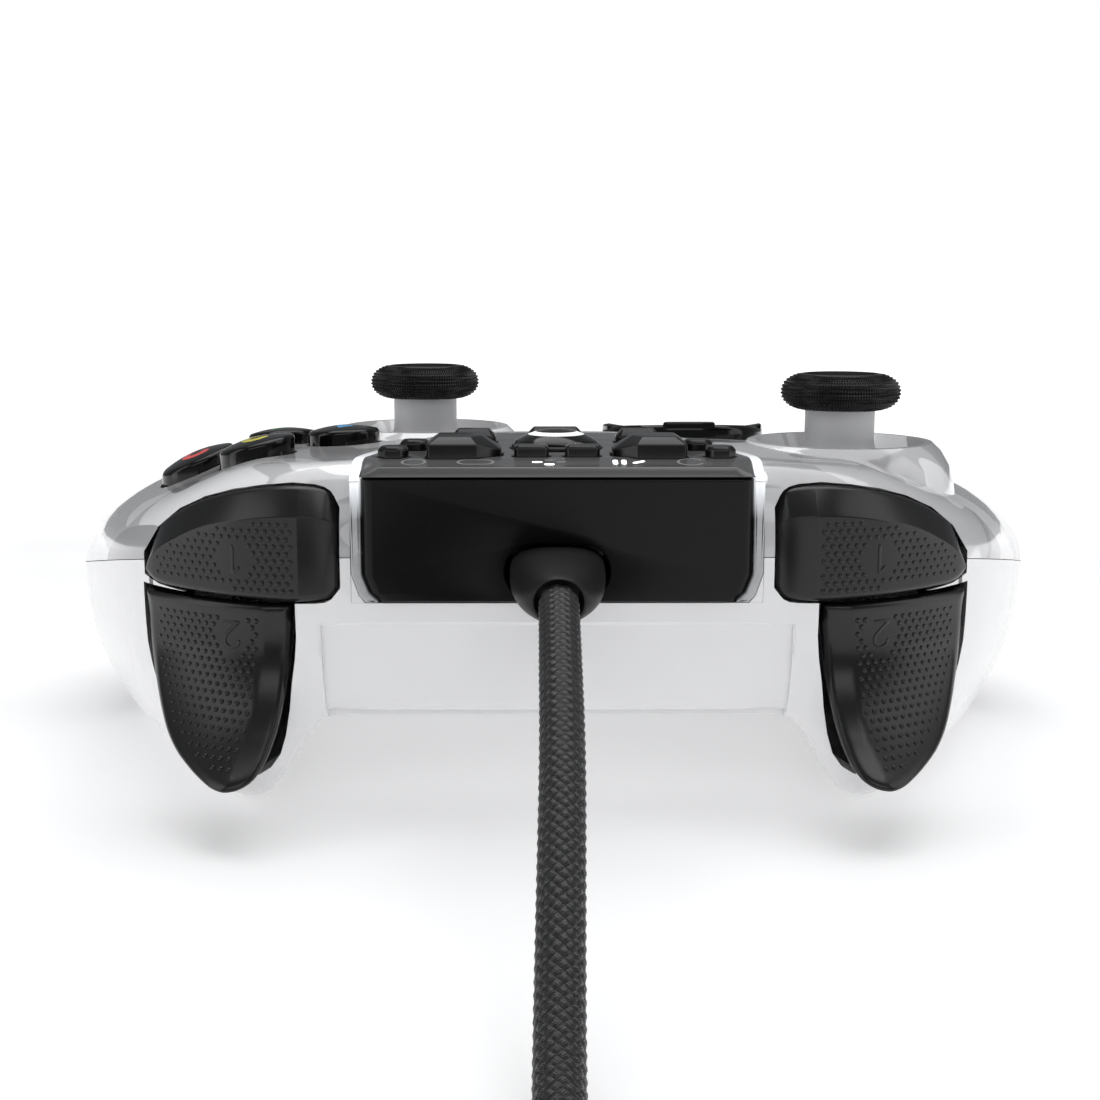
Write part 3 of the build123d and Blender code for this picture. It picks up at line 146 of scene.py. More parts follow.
def ccw(pts):
    a = sum(p[0] * q[1] - q[0] * p[1] for p, q in zip(pts, pts[1:] + pts[:1]))
    return pts if a > 0 else pts[::-1]


def inset(pts, d):
    """closed outline (counter-clockwise) moved inward"""
    p = np.array(pts, float)
    e = np.roll(p, -1, 0) - p
    e /= np.maximum(np.linalg.norm(e, axis=1), 1e-9)[:, None]
    n = np.stack([-e[:, 1], e[:, 0]], 1)
    m = n + np.roll(n, 1, 0)
    m /= np.maximum((1 + (n * np.roll(n, 1, 0)).sum(1)), 0.3)[:, None]
    return [tuple(q) for q in p + m * d]


def stack(name, layers, mats=(), sharp=40, centre=(0, 0), caps=(True, True)):
    """closed outlines of equal count, each at its own height, skinned and capped"""
    n = len(layers[0][0])
    verts, faces = [], []
    for outline, z in layers:
        for k, (x, y) in enumerate(outline):
            verts.append((centre[0] + x, centre[1] + y, z[k] if hasattr(z, "__len__") else z))
    for a in range(len(layers) - 1):
        for i in range(n):
            j = (i + 1) % n
            faces.append((a * n + i, a * n + j, (a + 1) * n + j, (a + 1) * n + i))
    if caps[0]:
        faces.append(tuple(range(n))[::-1])
    if caps[1]:
        faces.append(tuple(range((len(layers) - 1) * n, len(layers) * n)))
    return build(name, verts, faces, mats, sharp=sharp)


def rolled(outline, z0, z1, b, n=4):
    """layers of an upright side with a rounded upper edge"""
    out = [(outline, z0)]
    for k in range(n + 1):
        a = math.pi / 2 * k / n
        out.append((inset(outline, b * (1 - math.cos(a))), z1 - b + b * math.sin(a)))
    return out


def mirrored(ob, name):
    me = ob.data.copy()
    me.transform(Matrix.Scale(-1, 4, (1, 0, 0)))
    me.flip_normals()
    new = bpy.data.objects.new(name, me)
    SCENE.collection.objects.link(new)
    for m in ob.modifiers:
        c = new.modifiers.new(m.name, m.type)
        for k in ("width", "segments", "limit_method", "angle_limit", "levels", "render_levels", "harden_normals"):
            if hasattr(m, k):
                setattr(c, k, getattr(m, k))
    return new


def bevel(ob, width, segments=3, angle=30):
    m = ob.modifiers.new("bevel", "BEVEL")
    m.width = width * MM
    m.segments = segments
    m.limit_method = "ANGLE"
    m.angle_limit = math.radians(angle)
    m.harden_normals = False
    return ob


def join(name, obs):
    """one object out of several, each with its own materials"""
    bpy.ops.object.select_all(action="DESELECT")
    for o in obs:
        o.select_set(True)
    bpy.context.view_layer.objects.active = obs[0]
    bpy.ops.object.join()
    obs[0].name = name
    obs[0].data.name = name
    return obs[0]


# ---------------------------------------------------------------- materials
class Nodes:
    def __init__(self, name):
        self.mat = bpy.data.materials.new(name)
        self.mat.use_nodes = True
        self.t = self.mat.node_tree
        self.n = self.t.nodes
        self.shader = self.n["Principled BSDF"]
        self.coord = self.n.new("ShaderNodeTexCoord")

    def link(self, a, b):
        self.t.links.new(a, b)

    def noise(self, scale, detail=3.0, rough=0.5, distortion=0.0, vector=None):
        k = self.n.new("ShaderNodeTexNoise")
        k.inputs["Scale"].default_value = scale
        k.inputs["Detail"].default_value = detail
        k.inputs["Roughness"].default_value = rough
        k.inputs["Distortion"].default_value = distortion
        self.link(vector or self.coord.outputs["Object"], k.inputs["Vector"])
        return k.outputs["Fac"]

    def voronoi(self, scale, feature="F1", vector=None, out="Distance", random=1.0):
        k = self.n.new("ShaderNodeTexVoronoi")
        k.feature = feature
        k.inputs["Scale"].default_value = scale
        k.inputs["Randomness"].default_value = random
        self.link(vector or self.coord.outputs["Object"], k.inputs["Vector"])
        return k.outputs[out]

    def ramp(self, fac, stops, mode="LINEAR"):
        k = self.n.new("ShaderNodeValToRGB")
        k.color_ramp.interpolation = mode
        e = k.color_ramp.elements
        while len(e) < len(stops):
            e.new(0.5)
        for item, (pos, col) in zip(e, stops):
            item.position = pos
            item.color = (*col, 1) if len(col) == 3 else col
        self.link(fac, k.inputs["Fac"])
        return k.outputs["Color"]

    def span(self, fac, a, b, c, d):
        k = self.n.new("ShaderNodeMapRange")
        k.inputs["From Min"].default_value = a
        k.inputs["From Max"].default_value = b
        k.inputs["To Min"].default_value = c
        k.inputs["To Max"].default_value = d
        self.link(fac, k.inputs["Value"])
        return k.outputs["Result"]

    def maths(self, op, a, b=None, clamp=False):
        k = self.n.new("ShaderNodeMath")
        k.operation = op
        k.use_clamp = clamp
        for i, v in enumerate((a, b)):
            if v is None:
                continue
            if isinstance(v, (int, float)):
                k.inputs[i].default_value = v
            else:
                self.link(v, k.inputs[i])
        return k.outputs[0]

    def mix(self, fac, a, b, kind="MIX"):
        k = self.n.new("ShaderNodeMix")
        k.data_type = "RGBA"
        k.blend_type = kind
        for v, name in ((fac, 0), (a, 6), (b, 7)):
            if isinstance(v, (int, float)):
                k.inputs[name].default_value = v
            elif isinstance(v, tuple):
                k.inputs[name].default_value = (*v, 1) if len(v) == 3 else v
            else:
                self.link(v, k.inputs[name])
        return k.outputs[2]

    def bump(self, height, distance, strength=1.0, normal=None):
        k = self.n.new("ShaderNodeBump")
        k.inputs["Strength"].default_value = strength
        k.inputs["Distance"].default_value = distance
        self.link(height, k.inputs["Height"])
        if normal is not None:
            self.link(normal, k.inputs["Normal"])
        return k.outputs["Normal"]

    def set(self, **kw):
        names = {"color": "Base Color", "rough": "Roughness", "metal": "Metallic", "coat": "Coat Weight", "coat_rough": "Coat Roughness",
                 "spec": "Specular IOR Level", "ior": "IOR", "normal": "Normal", "emit": "Emission Color", "emit_s": "Emission Strength",
                 "sheen": "Sheen Weight", "sheen_rough": "Sheen Roughness", "coat_normal": "Coat Normal", "trans": "Transmission Weight",
                 "sub": "Subsurface Weight", "sub_scale": "Subsurface Scale"}
        for k, v in kw.items():
            s = self.shader.inputs[names[k]]
            if isinstance(v, (int, float)):
                s.default_value = v
            elif isinstance(v, tuple):
                s.default_value = (*v, 1) if len(v) == 3 else v
            else:
                self.link(v, s)
        return self


def plastic(name, color, rough, spread=0.1, mottle=0.06, grain=900.0, depth=0.00001, coat=0.0, spec=0.5, coat_rough=0.05):
    """moulded plastic: a little uneven in tone and gloss, with a fine moulded grain"""
    k = Nodes(name)
    big = k.noise(38.0, 3.0, 0.55)
    fine = k.noise(grain, 2.0, 0.6)
    lo = tuple(c * (1 - mottle) for c in color)
    hi = tuple(min(1.0, c * (1 + mottle)) for c in color)
    k.set(color=k.ramp(big, [(0.3, lo), (0.7, hi)]))
    both = k.maths("ADD", k.maths("MULTIPLY", big, 0.6), k.maths("MULTIPLY", fine, 0.4))
    k.set(rough=k.span(both, 0.3, 0.7, max(0.02, rough * (1 - spread)), min(1.0, rough * (1 + spread))))
    k.set(normal=k.bump(fine, depth), coat=coat, coat_rough=coat_rough, spec=spec)
    return k.mat


def lit(name, color, strength):
    k = Nodes(name)
    n = k.noise(500.0, 2.0)
    k.set(color=k.ramp(n, [(0.3, tuple(c * 0.93 for c in color)), (0.7, color)]), rough=0.3)
    k.set(emit=k.ramp(n, [(0.2, tuple(c * 0.9 for c in color)), (0.8, color)]), emit_s=strength)
    return k.mat


def camouflage():
    """glossy shell print: rounded patches of white, light grey and mid grey with crisp edges"""
    k = Nodes("shell_camouflage")
    m = k.n.new("ShaderNodeMapping")
    m.inputs["Location"].default_value = (0.113, 0.047, 0.021)
    m.inputs["Scale"].default_value = (0.8, 1.15, 1.5)
    m.inputs["Rotation"].default_value = (0.15, 0.3, 0.5)
    k.link(k.coord.outputs["Object"], m.inputs["Vector"])
    v = m.outputs["Vector"]
    a = k.noise(34.0, 1.2, 0.35, 0.9, v)
    b = k.noise(46.0, 1.0, 0.35, 1.1, v)
    c = k.noise(57.0, 0.6, 0.3, 0.7, v)
    white, light, mid = (0.88, 0.88, 0.885), (0.56, 0.56, 0.568), (0.40, 0.40, 0.41)
    e = 0.004
    fa = k.span(a, 0.502 - e, 0.502 + e, 0.0, 1.0)
    fb = k.span(b, 0.545 - e, 0.545 + e, 0.0, 1.0)
    fc = k.span(c, 0.60 - e, 0.60 + e, 0.0, 1.0)
    col = k.mix(fa, white, light)
    col = k.mix(fb, col, mid)
    col = k.mix(fc, col, white)
    fine = k.noise(700.0, 3.0, 0.6)
    col = k.mix(k.maths("MULTIPLY", fine, 0.10), col, (0.78, 0.78, 0.78), "MULTIPLY")
    k.set(color=col, rough=k.span(k.noise(60.0, 2.0), 0.3, 0.7, 0.16, 0.24), coat=0.85, coat_rough=0.04)
    k.set(normal=k.bump(k.noise(160.0, 2.0, 0.5), 0.000012))
    return k.mat


def leathery(name, color):
    """soft-touch grip with a fine wrinkled texture"""
    k = Nodes(name)
    w = k.n.new("ShaderNodeVectorMath")
    w.operation = "MULTIPLY_ADD"
    n = k.n.new("ShaderNodeTexNoise")
    n.inputs["Scale"].default_value = 260.0
    k.link(k.coord.outputs["Object"], n.inputs["Vector"])
    k.link(n.outputs["Color"], w.inputs[0])
    w.inputs[1].default_value = (0.0011, 0.0011, 0.0011)
    k.link(k.coord.outputs["Object"], w.inputs[2])
    cells = k.voronoi(1250.0, "DISTANCE_TO_EDGE", w.outputs[0])
    fine = k.noise(3000.0, 3.0, 0.6)
    ridge = k.span(cells, 0.0, 0.22, 0.0, 1.0)
    # painted shade: the grooves between the wrinkles are coloured 40% darker than the raised skin
    lo = tuple(c * 0.60 for c in color)
    k.set(color=k.mix(k.maths("MULTIPLY", ridge, 1.0, True), lo, k.ramp(k.noise(90.0), [(0.3, tuple(c * 0.93 for c in color)), (0.7, color)])))
    h = k.maths("ADD", k.maths("MULTIPLY", ridge, 0.8), k.maths("MULTIPLY", fine, 0.2))
    k.set(rough=k.span(ridge, 0.0, 1.0, 0.75, 0.52), normal=k.bump(h, 0.00012, 0.9), spec=0.4)
    return k.mat


def braid(name):
    """diamond braid; the map runs once round the cord in x and along it in y, in strands"""
    k = Nodes(name)
    uv = k.n.new("ShaderNodeUVMap")
    uv.uv_map = "strand"
    sep = k.n.new("ShaderNodeSeparateXYZ")
    k.link(uv.outputs["UV"], sep.inputs[0])
    u, v = sep.outputs[0], sep.outputs[1]
    a = k.maths("ADD", u, v)
    b = k.maths("SUBTRACT", u, v)
    fa, fb = k.maths("FRACT", a), k.maths("FRACT", b)
    par = k.maths("MODULO", k.maths("ADD", k.maths("FLOOR", a), k.maths("FLOOR", b)), 2.0)
    par = k.maths("ABSOLUTE", par)
    sa = k.maths("SINE", k.maths("MULTIPLY", fa, math.pi))
    sb = k.maths("SINE", k.maths("MULTIPLY", fb, math.pi))
    top = k.n.new("ShaderNodeMix")
    k.link(par, top.inputs[0])
    k.link(k.maths("MULTIPLY", k.maths("POWER", sa, 0.6), k.maths("POWER", sb, 0.35)), top.inputs[2])
    k.link(k.maths("MULTIPLY", k.maths("POWER", sa, 0.35), k.maths("POWER", sb, 0.6)), top.inputs[3])
    h = top.outputs[0]
    along = k.n.new("ShaderNodeMix")
    k.link(par, along.inputs[0])
    k.link(fa, along.inputs[2])
    k.link(fb, along.inputs[3])
    thread = k.maths("SINE", k.maths("MULTIPLY", along.outputs[0], 2 * math.pi * 5))
    hh = k.maths("ADD", h, k.maths("MULTIPLY", thread, 0.09))
    # painted shade: the gaps between the strands are coloured near-black against the strands' own tone
    gap = k.span(h, 0.05, 0.5, 0.0, 1.0)
    tone = k.ramp(k.noise(420.0, 2.0), [(0.3, (0.0050, 0.0050, 0.0056)), (0.7, (0.0090, 0.0092, 0.0100))])
    k.set(color=k.mix(gap, (0.003, 0.003, 0.0035), tone), rough=k.span(thread, -1.0, 1.0, 0.40, 0.26), spec=0.55,
          normal=k.bump(hh, 0.00011, 1.0), sheen=0.06, sheen_rough=0.4)
    return k.mat


def steel(name, color=(0.56, 0.56, 0.57), rough=0.3):
    k = Nodes(name)
    m = k.n.new("ShaderNodeMapping")
    m.inputs["Scale"].default_value = (60.0, 1600.0, 1600.0)
    k.link(k.coord.outputs["Object"], m.inputs["Vector"])
    n = k.noise(1.0, 3.0, 0.6, 0.0, m.outputs["Vector"])
    k.set(color=k.ramp(n, [(0.3, tuple(c * 0.86 for c in color)), (0.7, color)]), metal=1.0, rough=k.span(n, 0.3, 0.7, rough * 0.8, rough * 1.3),
          normal=k.bump(n, 0.000006))
    return k.mat


def board(name):
    k = Nodes(name)
    line = k.voronoi(240.0, "DISTANCE_TO_EDGE")
    pads = k.voronoi(520.0, "F1")
    base = k.ramp(k.noise(120.0), [(0.3, (0.006, 0.010, 0.009)), (0.7, (0.009, 0.015, 0.013))])
    col = k.mix(k.span(line, 0.03, 0.05, 1.0, 0.0), base, (0.014, 0.026, 0.020))
    col = k.mix(k.span(pads, 0.10, 0.13, 1.0, 0.0), col, (0.55, 0.40, 0.14))
    k.set(color=col, rough=k.span(line, 0.0, 0.1, 0.3, 0.42), normal=k.bump(k.span(line, 0.02, 0.06, 1.0, 0.0), 0.00004))
    return k.mat


def fabric(name, color):
    k = Nodes(name)
    w = k.n.new("ShaderNodeTexWave")
    w.inputs["Scale"].default_value = 420.0
    w.inputs["Distortion"].default_value = 1.5
    k.link(k.coord.outputs["Object"], w.inputs["Vector"])
    n = k.noise(1800.0, 3.0, 0.7)
    h = k.maths("ADD", k.maths("MULTIPLY", w.outputs["Fac"], 0.5), k.maths("MULTIPLY", n, 0.5))
    # painted shade and highlight: the weave is coloured darker in its hollows and lighter on its crowns, from the same
    # height as its bump
    k.set(color=k.ramp(h, [(0.25, tuple(c * 0.5 for c in color)), (0.75, tuple(c * 1.4 for c in color))]), rough=0.85,
          normal=k.bump(h, 0.0001, 0.8), sheen=0.3)
    return k.mat


def paint_bay_shade(mat):
    """painted shade: the walls of the bumper and trigger bays are coloured near-black where shade falls inside them;
    the bays are told by their place in the housing
    """
    t = mat.node_tree
    base = next(n for n in t.nodes if n.type == "BSDF_PRINCIPLED")
    old = base.inputs["Base Color"].links[0].from_socket

    def maths(op, a, b=0.0, clamp=False):
        n = t.nodes.new("ShaderNodeMath")
        n.operation = op
        n.use_clamp = clamp
        for i, v in enumerate((a, b)):
            if isinstance(v, (int, float)):
                n.inputs[i].default_value = v
            else:
                t.links.new(v, n.inputs[i])
        return n.outputs[0]
    co = t.nodes.new("ShaderNodeTexCoord")
    sep = t.nodes.new("ShaderNodeSeparateXYZ")
    t.links.new(co.outputs["Object"], sep.inputs[0])
    x = maths("ABSOLUTE", sep.outputs[0])
    u = maths("DIVIDE", maths("SUBTRACT", x, 0.028), 0.0274, True)
    front = maths("ADD", maths("MULTIPLY", maths("POWER", u, 1.9), 0.0118), -0.0424)
    m = maths("GREATER_THAN", sep.outputs[1], front)
    for op, v, lim in (("LESS_THAN", sep.outputs[1], -0.0200), ("GREATER_THAN", sep.outputs[2], 0.0276), ("LESS_THAN", sep.outputs[2], 0.0336),
                       ("GREATER_THAN", x, 0.0323), ("LESS_THAN", x, 0.0551)):
        m = maths("MULTIPLY", m, maths(op, v, lim))
    mix = t.nodes.new("ShaderNodeMix")
    mix.data_type = "RGBA"
    t.links.new(m, mix.inputs[0])
    t.links.new(old, mix.inputs[6])
    # painted shade: the near-black colour laid over the shell inside the bays
    mix.inputs[7].default_value = (0.004, 0.004, 0.004, 1)
    t.links.new(mix.outputs[2], base.inputs["Base Color"])
    return mat


# both shell finishes carry painted shade inside the bumper and trigger bays
CAMO = paint_bay_shade(camouflage())
WHITE = paint_bay_shade(plastic("shell_gloss_white", (0.88, 0.88, 0.885), 0.2, 0.15, 0.01, 700.0, 0.000004, coat=0.8, coat_rough=0.05))
GRIP = leathery("grip_soft_touch", (0.36, 0.36, 0.37))
SATIN = plastic("satin_black", (0.0065, 0.0065, 0.0068), 0.25, 0.10, 0.10, 1500.0, 0.000005, spec=0.42)
SATIN_SMOOTH = plastic("cover_black", (0.0032, 0.0032, 0.0034), 0.25, 0.08, 0.08, 1200.0, 0.000003, spec=0.20)
RUBBER = plastic("rubber_black", (0.0085, 0.0085, 0.009), 0.44, 0.12, 0.12, 1700.0, 0.000012, spec=0.22)
TYRE = plastic("tyre_black", (0.0035, 0.0035, 0.0036), 0.27, 0.15, 0.12, 2500.0, 0.000004, spec=0.34)
DISH = plastic("dish_black", (0.0035, 0.0035, 0.0036), 0.5, 0.12, 0.12, 1900.0, 0.000008, spec=0.08)
GLOSS = plastic("button_gloss_black", (0.003, 0.003, 0.0032), 0.12, 0.15, 0.10, 900.0, 0.000002, coat=0.20, coat_rough=0.04, spec=0.22)
BUTTON = plastic("small_button_black", (0.0055, 0.0055, 0.0058), 0.24, 0.12, 0.10, 1300.0, 0.000005, coat=0.12, coat_rough=0.15, spec=0.3)
PANEL_M = plastic("panel_grey", (0.095, 0.095, 0.096), 0.22, 0.10, 0.05, 1500.0, 0.000002, spec=0.45)
STICK = plastic("stick_grey", (0.60, 0.60, 0.61), 0.42, 0.10, 0.02, 1500.0, 0.000006)
INNER = plastic("inner_black", (0.012, 0.012, 0.0125), 0.5, 0.1, 0.1, 1200.0, 0.00001, spec=0.3)
SILICONE = plastic("silicone_grey", (0.42, 0.42, 0.43), 0.6, 0.1, 0.05, 900.0, 0.00001)
ICON_ON = lit("icon_lit", (0.96, 0.98, 1.0), 3.0)
ICON_DIM = plastic("icon_grey", (0.26, 0.26, 0.265), 0.4, 0.1, 0.05)
MARK = lit("mark_white", (0.95, 0.95, 0.96), 0.35)
STEEL = steel("steel")
BRIGHT = steel("connector_steel", (0.66, 0.66, 0.67), 0.22)
COPPER = steel("motor_can", (0.50, 0.50, 0.50), 0.34)
BOARD = board("board_dark")
BRAID = braid("cord_braid")
STRAP = fabric("tie_fabric", (0.012, 0.012, 0.013))
# painted shade: near-black for the plates that stand for the shade seen through the plug shell's holes
HOLE_SHADE = plastic("painted_hole_shade", (0.003, 0.003, 0.003), 0.7, 0.1, 0.1, spec=0.1)

# ---------------------------------------------------------------- carried-over nodes
FINISH = {
    "top_shell": CAMO, "rear_shell": WHITE, "main_board": BOARD, "button_board": BOARD, "rubber_domes": SILICONE,
    "usb_receptacle": BRIGHT, "trigger_brackets": STEEL, "trigger_pins": STEEL, "left_trigger_spring": STEEL, "right_trigger_spring": STEEL,
    "left_motor": COPPER, "right_motor": COPPER, "left_motor_weight": STEEL, "right_motor_weight": STEEL, "headset_jack": INNER,
    "left_stick_housing": STEEL, "right_stick_housing": STEEL, "left_stick_seat": INNER, "right_stick_seat": INNER,
    "left_stick_yoke": INNER, "right_stick_yoke": INNER, "dpad_pivot": INNER, "screws": STEEL,
}
for node, ob in frame["nodes"].items():
    m = FINISH.get(node, SATIN)
    if not ob.data.materials:
        ob.data.materials.append(m)
    for i in range(len(ob.data.materials)):
        ob.data.materials[i] = m
NODE_BODY = {n: b for b, ns in frame["record"]["behaviour"]["bodies"].items() for n in ns}


def place(ob, node, also=()):
    """the piece stands for a node and moves with its body"""
    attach(ob, NODE_BODY[node])
    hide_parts(node, *also)
    return ob


def follow(ob, body):
    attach(ob, body)
    return ob


# ---------------------------------------------------------------- cord: lead, coil, tail
CORD_D = 4.7
FLOOR = CORD_D / 2
COIL_C = (-36.0, -182.0)
COIL_MID_R = 28.0
COIL_W, COIL_H = 19.0, 19.4
PLUG_Y, PLUG_Z = COIL_C[1] - 25.0, COIL_H
ROUTE = [(0.0, -0.0620, 0.0352), (0.0, -0.0740, 0.0318), (0.0001, -0.0875, 0.0258), (-0.0002, -0.0998, 0.0169),
         (-0.0005, -0.1114, 0.0074), (-0.0006, -0.1230, 0.00235), (-0.0003, -0.1375, 0.00235), (-0.0012, -0.1520, 0.00235),
         (-0.0004, -0.1665, 0.00235), (-0.0010, -0.1800, 0.00235)]
PER_TURN = 16
TURN_SCALE = 1 / math.cos(math.pi / PER_TURN)
coil_points = []
TRACK_R = [COIL_MID_R + (j - 1.5) * CORD_D for j in range(4)]
order = [3, 2, 1, 0, 0, 1, 2, 3, 3, 2, 1, 0, 0, 1, 2, 3]


def ease(t):
    t = min(1.0, max(0.0, t))
    return t * t * (3 - 2 * t)


for turn in range(16):
    for k in range(PER_TURN):
        t = k / PER_TURN
        r = TRACK_R[order[turn]]
        z = FLOOR + (turn // 4) * CORD_D
        if turn > 0:
            w = ease(t / 0.3)
            r = TRACK_R[order[turn - 1]] * (1 - w) + r * w
            z = (FLOOR + ((turn - 1) // 4) * CORD_D) * (1 - w) + z * w
        a = -2 * math.pi * (turn + t)
        if turn == 0 and k == 0:
            continue
        coil_points.append(((COIL_C[0] + r * TURN_SCALE * math.cos(a)) * MM, (COIL_C[1] + r * TURN_SCALE * math.sin(a)) * MM, z * MM))
TAIL = [(35.4, 0.0, 16.7), (34.6, -9.0, 18.0), (31.5, -17.5, 20.6), (27.0, -22.9, 22.6), (22.0, -24.8, 23.3), (17.0, -25.0, 23.3)]
tail_points = [((COIL_C[0] + x) * MM, (COIL_C[1] + y) * MM, z * MM) for x, y, z in TAIL]
cord_controls = ROUTE + coil_points + tail_points
line_data = bpy.data.curves.new("cord_line", "CURVE")
line_data.dimensions = "3D"
line_data.resolution_u = 12
spline = line_data.splines.new("NURBS")
spline.points.add(len(cord_controls) - 1)
for p, c in zip(spline.points, cord_controls):
    p.co = (*c, 1.0)
spline.order_u = 3
spline.use_endpoint_u = True
spline.resolution_u = 12
line_ob = bpy.data.objects.new("cord_line", line_data)
SCENE.collection.objects.link(line_ob)
bpy.context.view_layer.update()
line_mesh = bpy.data.meshes.new_from_object(line_ob)
line = np.array([v.co[:] for v in line_mesh.vertices], float)
bpy.data.objects.remove(line_ob)
bpy.data.meshes.remove(line_mesh)
steps = np.linalg.norm(np.diff(line, axis=0), axis=1)
line = line[np.concatenate([[True], steps > 1e-7])]
steps = np.linalg.norm(np.diff(line, axis=0), axis=1)
along = np.concatenate([[0], np.cumsum(steps)])
CORD_LENGTH = float(along[-1])
print("cord length", round(CORD_LENGTH, 4))


def at(s):
    return np.stack([np.interp(s, along, line[:, i]) for i in range(3)], 1)


STRANDS, PITCH = 9, 1.28        # strands each way round the cord, and the length of one diamond (mm)


def cord_mesh():
    lead = 0.150
    s_fine = np.arange(0.0, lead, 0.00030)
    s_rest = np.arange(lead, CORD_LENGTH, 0.0021)
    s = np.concatenate([s_fine, s_rest, [CORD_LENGTH]])
    smooth_at = lambda q: (at(np.clip(q - 0.0012, 0, CORD_LENGTH)) + at(q) * 2 + at(np.clip(q + 0.0012, 0, CORD_LENGTH))) / 4
    c = smooth_at(s)
    c[0], c[-1] = line[0], line[-1]
    tan = np.gradient(c, axis=0)
    tan /= np.linalg.norm(tan, axis=1)[:, None]
    # carry one side vector along without twist
    side = np.zeros_like(c)
    ref = np.array([1.0, 0, 0])
    ref = ref - tan[0] * (ref @ tan[0])
    side[0] = ref / np.linalg.norm(ref)
    for i in range(1, len(c)):
        r = side[i - 1] - tan[i] * (side[i - 1] @ tan[i])
        side[i] = r / np.linalg.norm(r)
    other = np.cross(tan, side)
    verts, faces, uv = [], [], []
    n_f, n_r = 88, 16
    rings = []
    radius = CORD_D / 2 * MM
    for i, q in enumerate(s):
        n = n_f if i < len(s_fine) else n_r
        w = np.arange(n) / n
        a = w * 2 * math.pi
        rr = np.full(n, radius * 0.985)
        if n == n_f:
            ua = w * STRANDS + q / (PITCH * MM)
            ub = w * STRANDS - q / (PITCH * MM)
            fa, fb = ua - np.floor(ua), ub - np.floor(ub)
            par = (np.floor(ua) + np.floor(ub)) % 2
            sa, sb = np.sin(np.pi * fa), np.sin(np.pi * fb)
            h = np.where(par < 0.5, sa ** 0.6 * sb ** 0.35, sa ** 0.35 * sb ** 0.6)
            rr = radius * (0.915 + 0.095 * h)
        rings.append((len(verts), n, q))
        for j in range(n):
            verts.append(c[i] + rr[j] * (side[i] * math.cos(a[j]) + other[i] * math.sin(a[j])))
    face_uv = []
    for (i0, n0, q0), (i1, n1, q1) in zip(rings, rings[1:]):
        if n0 == n1:
            for j in range(n0):
                k = (j + 1) % n0
                faces.append((i0 + j, i0 + k, i1 + k, i1 + j))
                face_uv.append([(j / n0, q0), ((j + 1) / n0, q0), ((j + 1) / n0, q1), (j / n0, q1)])
        else:
            # the finer ring meets the coarser one
            for j in range(n1):
                ks = [round(j * n0 / n1) + t for t in range(round((j + 1) * n0 / n1) - round(j * n0 / n1) + 1)]
                for t in range(len(ks) - 1):
                    faces.append((i0 + ks[t] % n0, i0 + ks[t + 1] % n0, i1 + j))
                    face_uv.append([(ks[t] / n0, q0), (ks[t + 1] / n0, q0), (j / n1, q1)])
                faces.append((i0 + ks[-1] % n0, i1 + (j + 1) % n1, i1 + j))
                face_uv.append([(ks[-1] / n0, q0), ((j + 1) / n1, q1), (j / n1, q1)])
    i0, n0, q0 = rings[0]
    faces.append(tuple(range(i0, i0 + n0))[::-1])
    face_uv.append([(0, 0)] * n0)
    i1, n1, q1 = rings[-1]
    faces.append(tuple(range(i1, i1 + n1)))
    face_uv.append([(0, 0)] * n1)
    me = bpy.data.meshes.new("lead")
    me.from_pydata([tuple(v) for v in verts], [], faces)
    lay = me.uv_layers.new(name="strand")
    flat = [x for f in face_uv for (a, q) in f for x in (a * STRANDS, q / (PITCH * MM))]
    lay.data.foreach_set("uv", flat)
    me.materials.append(BRAID)
    me.shade_smooth()
    me.update()
    ob = bpy.data.objects.new("lead", me)
    SCENE.collection.objects.link(ob)
    return ob


lead_ob = cord_mesh()
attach(lead_ob, "housing")
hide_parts("cord_tube", "cord_coil")


# boot of the cable plug: oval root, domed body, end face with a recessed ring
def superellipse(w, d, p, n=72):
    out = []
    for i in range(n):
        a = 2 * math.pi * i / n
        c, s = math.cos(a), math.sin(a)
        out.append((w / 2 * math.copysign(abs(c) ** (2 / p), c), d / 2 * math.copysign(abs(s) ** (2 / p), s)))
    return out


